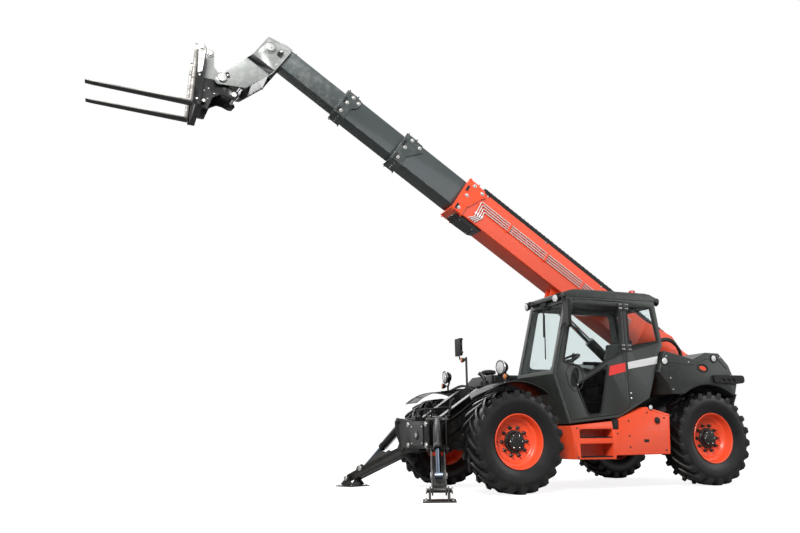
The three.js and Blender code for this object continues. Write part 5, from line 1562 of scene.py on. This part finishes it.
# arched lines behind the cab
hoses = newShape()
for path in ([(-1.40, 0.34, 1.62), (-1.34, 0.36, 1.86), (-1.45, 0.38, 2.02), (-1.66, 0.4, 2.03),
              (-1.79, 0.4, 1.86), (-1.83, 0.38, 1.62)],
             [(-1.32, 0.44, 1.6), (-1.26, 0.46, 1.84), (-1.36, 0.48, 1.985), (-1.55, 0.5, 2.0),
              (-1.71, 0.5, 1.85), (-1.74, 0.46, 1.6)],
             [(-0.86, 0.4, 1.66), (-0.92, 0.4, 1.78), (-1.05, 0.42, 1.83), (-1.18, 0.44, 1.76),
              (-1.22, 0.44, 1.62)]):
    addPipe(hoses, smoothPath(path, 7), 0.021, 12)
    for end, other in ((path[0], path[1]), (path[-1], path[-2])):
        end, other = Vector(end), Vector(other)
        ahead = (other - end).normalized()
        addBar(hoses, end - ahead * 0.02, end + ahead * 0.06, 0.028, 6, 1, 0.003)
finishPiece("cab_back_hoses", hoses, (sealRubber, boltSteel))

# step tank
tank = newShape()
tankSide = 1.2
addTurned(tank, [(0, 0), (0.03, 0), (0.03, 0.007), (0.02, 0.012), (0, 0.013)],
          (-0.495, tankSide, 1.06 - 0.045), (0, 1, 0), 28, 1)
addRing(tank, 0.03, 0.037, 0.009, 0.011, (-0.495, tankSide, 1.015), (0, 1, 0), 28)
for x, z in ((-0.43, 0.95), (-0.13, 0.66), (-0.13, 0.52), (0.055, 0.69), (-0.7, 0.88), (-0.7, 0.47),
             (-0.13, 0.845), (0.66, 0.76), (0.66, 0.41)):
    addBolt(tank, (x, tankSide, z), (0, 1, 0), 0.0105, 2)
addTurned(tank, [(0, 0), (0.042, 0), (0.044, 0.004), (0.04, 0.016), (0.02, 0.018), (0, 0.018)],
          (-0.58, tankSide, 0.85), (0, 1, 0), 32, 2)
addRing(tank, 0.044, 0.056, 0.004, 0.006, (-0.58, tankSide, 0.85), (0, 1, 0), 32, 3)
addPrism(tank, rounded([(-0.43, 0.575), (-0.35, 0.575), (-0.35, 0.612), (-0.43, 0.612)], 0.012, 3),
         tankSide, tankSide + 0.0018)
addPrism(tank, rounded([(0.026, 0.75), (0.11, 0.75), (0.11, 0.862), (0.026, 0.872)], 0.012, 3), 1.07, 1.19)
addPrism(tank, rounded([(0.045, 0.775), (0.092, 0.775), (0.092, 0.84), (0.045, 0.845)], 0.008, 2),
         1.189, 1.197, "side", 2)
addPipe(tank, [(x, tankSide, z) for x, z in ((-0.74, 0.44), (-0.775, 0.91), (-0.44, 0.998))], 0.005, 8, 3)
addPipe(tank, [(x, tankSide, z) for x, z in ((-0.74, 0.44), (0.075, 0.44))], 0.005, 8, 3)
for z in (0.6405, 0.4055):  # serrated treads in the two step recesses
    addPrism(tank, rounded([(0.14, 1.0), (0.61, 1.0), (0.61, 1.205), (0.14, 1.205)], 0.01, 2),
             z, z + 0.005, "floor")
    for k in range(22):
        x = 0.155 + 0.0208 * k
        addPrism(tank, [(x, 1.005), (x + 0.009, 1.005), (x + 0.009, 1.2), (x, 1.2)], z + 0.004, z + 0.014,
                 "floor")
addPrism(tank, rounded([(0.16, 0.745), (0.60, 0.745), (0.60, 0.752), (0.16, 0.752)], 0.002, 1), 1.0, 1.2)
finishPiece("step_tank_trim", tank, (blackPlastic, lampClear, blackPaint, orangePaint), "chassis",
            machineFrame, 0.0012)

# stabiliser bracket, legs and pads
bracket = newShape()
for x, y, z in ((2.302, 0.3, 0.84), (2.302, -0.3, 0.84), (2.302, 0.3, 0.575), (2.302, -0.3, 0.575)):
    addTurned(bracket, [(0, 0), (0.036, 0), (0.036, 0.01), (0.03, 0.018), (0, 0.02)], (x - 0.003, y, z),
              (1, 0, 0), 32, 1)
addPrism(bracket, rounded([(-0.2, 0.57), (0.2, 0.57), (0.2, 0.84), (-0.2, 0.84)], 0.03, 3),
         2.298, 2.308, "front")
for y in (-0.17, 0.17):
    for z in (0.6, 0.81):
        addBolt(bracket, (2.308, y, z), (1, 0, 0), 0.011, 1)
addRing(bracket, 0.03, 0.062, 0.016, 0.02, (2.3, 0, 0.7), (1, 0, 0), 36)
addBar(bracket, (2.24, 0, 0.7), (2.325, 0, 0.7), 0.03, 28, 1, 0.004)
for way in (1, -1):
    # valve block with its ports and lines
    addBlock(bracket, (2.13, 2.24), sideSpan(way, 0.2, 0.31), (0.879, 0.95))
    for k in range(3):
        spot = Vector((2.15 + 0.035 * k, way * 0.255, 0.95))
        addBolt(bracket, spot, (0, 0, 1), 0.011, 1)
        addPipe(bracket, smoothPath([spot, spot + Vector((0.0, 0.0, 0.07)), (2.0, way * (0.24 + 0.03 * k),
                1.05), (1.84, way * 0.26, 1.0), (1.78, way * 0.25, 0.86)], 5), 0.0095, 8, 2)
    addPipe(bracket, bentPath([(2.11, way * 0.34, 0.86), (2.02, way * 0.4, 0.95), (2.0, way * 0.4, 1.11),
                               (1.94, way * 0.4, 1.16)], 0.04), 0.0125, 10, 2)
finishPiece("stabiliser_bracket_trim", bracket, (blackPaint, boltSteel, sealRubber, pipeSteel), edge=0.002)

for side in ("left", "right"):
    place = legFrame(side)
    leg = newShape()
    for way in (1, -1):
        addTurned(leg, [(0, 0), (0.05, 0), (0.053, 0.004), (0.048, 0.012), (0.02, 0.014), (0, 0.014)],
                  (0, way * 0.0825, 0), (0, way, 0), 32, 1)
        addBolt(leg, (0, way * 0.095, 0), (0, way, 0), 0.012, 1)
        addTurned(leg, [(0, 0), (0.036, 0), (0.038, 0.004), (0.034, 0.012), (0, 0.013)],
                  (0.93, way * 0.0825, 0.05), (0, way, 0), 28, 1)
        addPipe(leg, [(0.12, way * 0.0825, 0.052), (0.82, way * 0.0825, 0.062)], 0.005, 8)
        addPipe(leg, [(0.12, way * 0.0825, -0.052), (1.0, way * 0.0825, -0.04)], 0.005, 8)
    addBlock(leg, (0.1, 0.99), (-0.0665, 0.0665), (-0.052, -0.04))
    finishPiece(f"stabiliser_leg_trim_{side}", leg, (blackPaint, boltSteel), f"leg_{side}", place,
                0.001)
    foot = Vector(joints[f"stabiliser_{side}_pad"]["pos_m"])
    along = (place.to_3x3() @ Vector((1, 0, 0)))
    along = Vector((along.x, along.y, 0)).normalized()
    pad = newShape()
    sole = 0.024 - foot.z
    for way in (1, -1):
        addPrism(pad, rounded([(-0.14, sole - 0.002), (0.14, sole - 0.002), (0.055, -0.02), (-0.055, -0.02)],
                              0.012, 3), *sideSpan(way, 0.105, 0.117))
        addTurned(pad, [(0, 0), (0.036, 0), (0.038, 0.004), (0.033, 0.013), (0, 0.014)], (0, way * 0.134, 0),
                  (0, way, 0), 28, 1)
        for x in (-0.135, 0.135):
            addBolt(pad, (x, way * 0.145, sole - 0.004), (0, 0, 1), 0.012, 1)
    finishPiece(f"stabiliser_pad_trim_{side}", pad, (blackPaint, boltSteel), f"pad_{side}",
                axes(foot, along, Vector((0, 0, 1))), 0.001)
    ram = newShape()
    addTurned(ram, [(0.0525, 0.0), (0.054, 0.0), (0.056, 0.004), (0.056, 0.05), (0.054, 0.055),
                    (0.0525, 0.055)], (0.5, 0, 0), (1, 0, 0), 36, 0, True)
    for way in (1, -1):
        addBlock(ram, (0.1, 0.165), sideSpan(way, 0.0, 0.03), (0.045, 0.088), 1)
    addPipe(ram, bentPath([(0.16, 0.0, 0.07), (0.24, 0.0, 0.07), (0.44, 0.0, 0.068), (0.5, 0.0, 0.068),
                           (0.525, 0, 0.05)], 0.02), 0.0085, 10, 1)
    addPipe(ram, bentPath([(0.11, -0.02, 0.088), (0.09, -0.02, 0.11), (0.03, -0.03, 0.1),
                           (0.01, -0.03, 0.07)], 0.02), 0.0085, 10, 1)
    for x in (0.12, 0.148):
        addBolt(ram, (x, 0.0, 0.088), (0, 0, 1), 0.0085, 1)
    finishPiece(f"stabiliser_ram_trim_{side}", ram, (blackPaint, silverPlate), f"leg_barrel_{side}",
                ramFrame(f"stabiliser_{side}_barrel", f"stabiliser_{side}_rod"), 0.0012)
print("bodywork ready")

# axles, drive line and steering
for end, x, facing in (("front", 1.49, 1), ("rear", -1.49, -1)):
    axle = newShape()
    addTurned(axle, [(0, -0.15), (0.1, -0.15), (0.165, -0.11), (0.185, -0.05), (0.19, 0.02), (0.19, 0.04),
                     (0.17, 0.06), (0.15, 0.12), (0.1, 0.16), (0, 0.17)], (x, 0.0, 0.612), (facing, 0, 0), 40)
    for k in range(10):
        a = 2 * pi * k / 10
        addBolt(axle, (x + 0.04 * facing, 0.175 * cos(a), 0.612 + 0.175 * sin(a)), (facing, 0, 0), 0.010, 1)
    addBar(axle, (x - 0.14 * facing, 0, 0.612), (x - 0.26 * facing, 0, 0.63), 0.055, 24, 0, 0.006)
    for way in (1, -1):
        addTurned(axle, [(0.075, 0), (0.105, 0.01), (0.105, 0.035), (0.08, 0.05), (0.075, 0.05)],
                  (x, way * 0.42, 0.612), (0, way, 0), 32, 0, True)
        for k in range(8):
            a = 2 * pi * k / 8
            addBolt(axle, (x + 0.091 * cos(a), way * 0.455, 0.612 + 0.091 * sin(a)), (0, way, 0), 0.008, 1)
        addBlock(axle, (x - 0.08, x + 0.08), sideSpan(way, 0.22, 0.33), (0.68, 0.74))
    # steering ram on the axle's inner face
    addBar(axle, (x - 0.17 * facing, -0.26, 0.6), (x - 0.17 * facing, 0.26, 0.6), 0.036, 24, 0, 0.004)
    addBar(axle, (x - 0.17 * facing, -0.52, 0.6), (x - 0.17 * facing, 0.52, 0.6), 0.017, 18, 2, 0.002)
    finishPiece(f"{end}_axle_trim", axle, (blackPaint, boltSteel, chromeSteel))

drive = newShape()
addBar(drive, (1.22, 0, 0.63), (0.25, 0, 0.66), 0.032, 24, 0, 0.002)
addBar(drive, (-1.22, 0, 0.63), (-0.3, 0, 0.66), 0.032, 24, 0, 0.002)
for x, z in ((1.2, 0.63), (0.27, 0.66), (-1.2, 0.63), (-0.32, 0.66)):
    addBar(drive, (x - 0.05, 0, z), (x + 0.05, 0, z), 0.05, 16, 0, 0.01)
    addBar(drive, (x, -0.06, z), (x, 0.06, z), 0.02, 12, 1, 0.003)
addPrism(drive, rounded([(-0.3, 0.52), (0.24, 0.52), (0.27, 0.62), (0.24, 0.78), (-0.3, 0.78), (-0.32, 0.62)],
                        0.04, 3), -0.16, 0.16)
for k in range(7):
    addPrism(drive, rounded([(-0.26 + 0.075 * k, 0.515), (-0.24 + 0.075 * k, 0.515),
                             (-0.24 + 0.075 * k, 0.785), (-0.26 + 0.075 * k, 0.785)], 0.004, 1),
             -0.167, 0.167)
finishPiece("drive_line", drive, (blackPaint, boltSteel), edge=0.002)

# back of the machine: tow jaw, plate and bolts in the counterweight
back = newShape()
backX = -2.422  # the counterweight's rear face
for z in (0.47, 0.545):
    addPrism(back, rounded([(-2.2, -0.1), (-2.39, -0.08), (-2.425, 0.0), (-2.39, 0.08), (-2.2, 0.1)],
                           0.03, 3), z, z + 0.022, "floor")
addPrism(back, rounded([(-2.16, -0.11), (-2.23, -0.11), (-2.23, 0.11), (-2.16, 0.11)], 0.01, 2),
         0.462, 0.57, "floor")
addBar(back, (-2.37, 0, 0.45), (-2.37, 0, 0.6), 0.018, 20, 1, 0.003)
for y in (-0.55, -0.3, 0.3, 0.55):
    addTurned(back, [(0, 0), (0.032, 0), (0.032, 0.005), (0, 0.005)], (backX, y, 0.95), (-1, 0, 0), 24)
    addBolt(back, (backX - 0.004, y, 0.95), (-1, 0, 0), 0.015, 1)
addPrism(back, rounded([(-0.16, 1.09), (0.16, 1.09), (0.16, 1.19), (-0.16, 1.19)], 0.01, 2),
         backX - 0.005, backX + 0.002, "front", 2)
for y in (-0.14, 0.14):
    addBolt(back, (backX - 0.005, y, 1.14), (-1, 0, 0), 0.006, 1)
for way in (1, -1):
    addTurned(back, [(0, 0), (0.04, 0), (0.04, 0.006), (0.03, 0.01), (0, 0.011)],
              (backX + 0.001, way * 0.5, 1.15), (-1, 0, 0), 28, 3)
finishPiece("counterweight_trim", back, (blackPaint, boltSteel, silverPlate, lampRed), edge=0.0015)
print("axles and back ready")
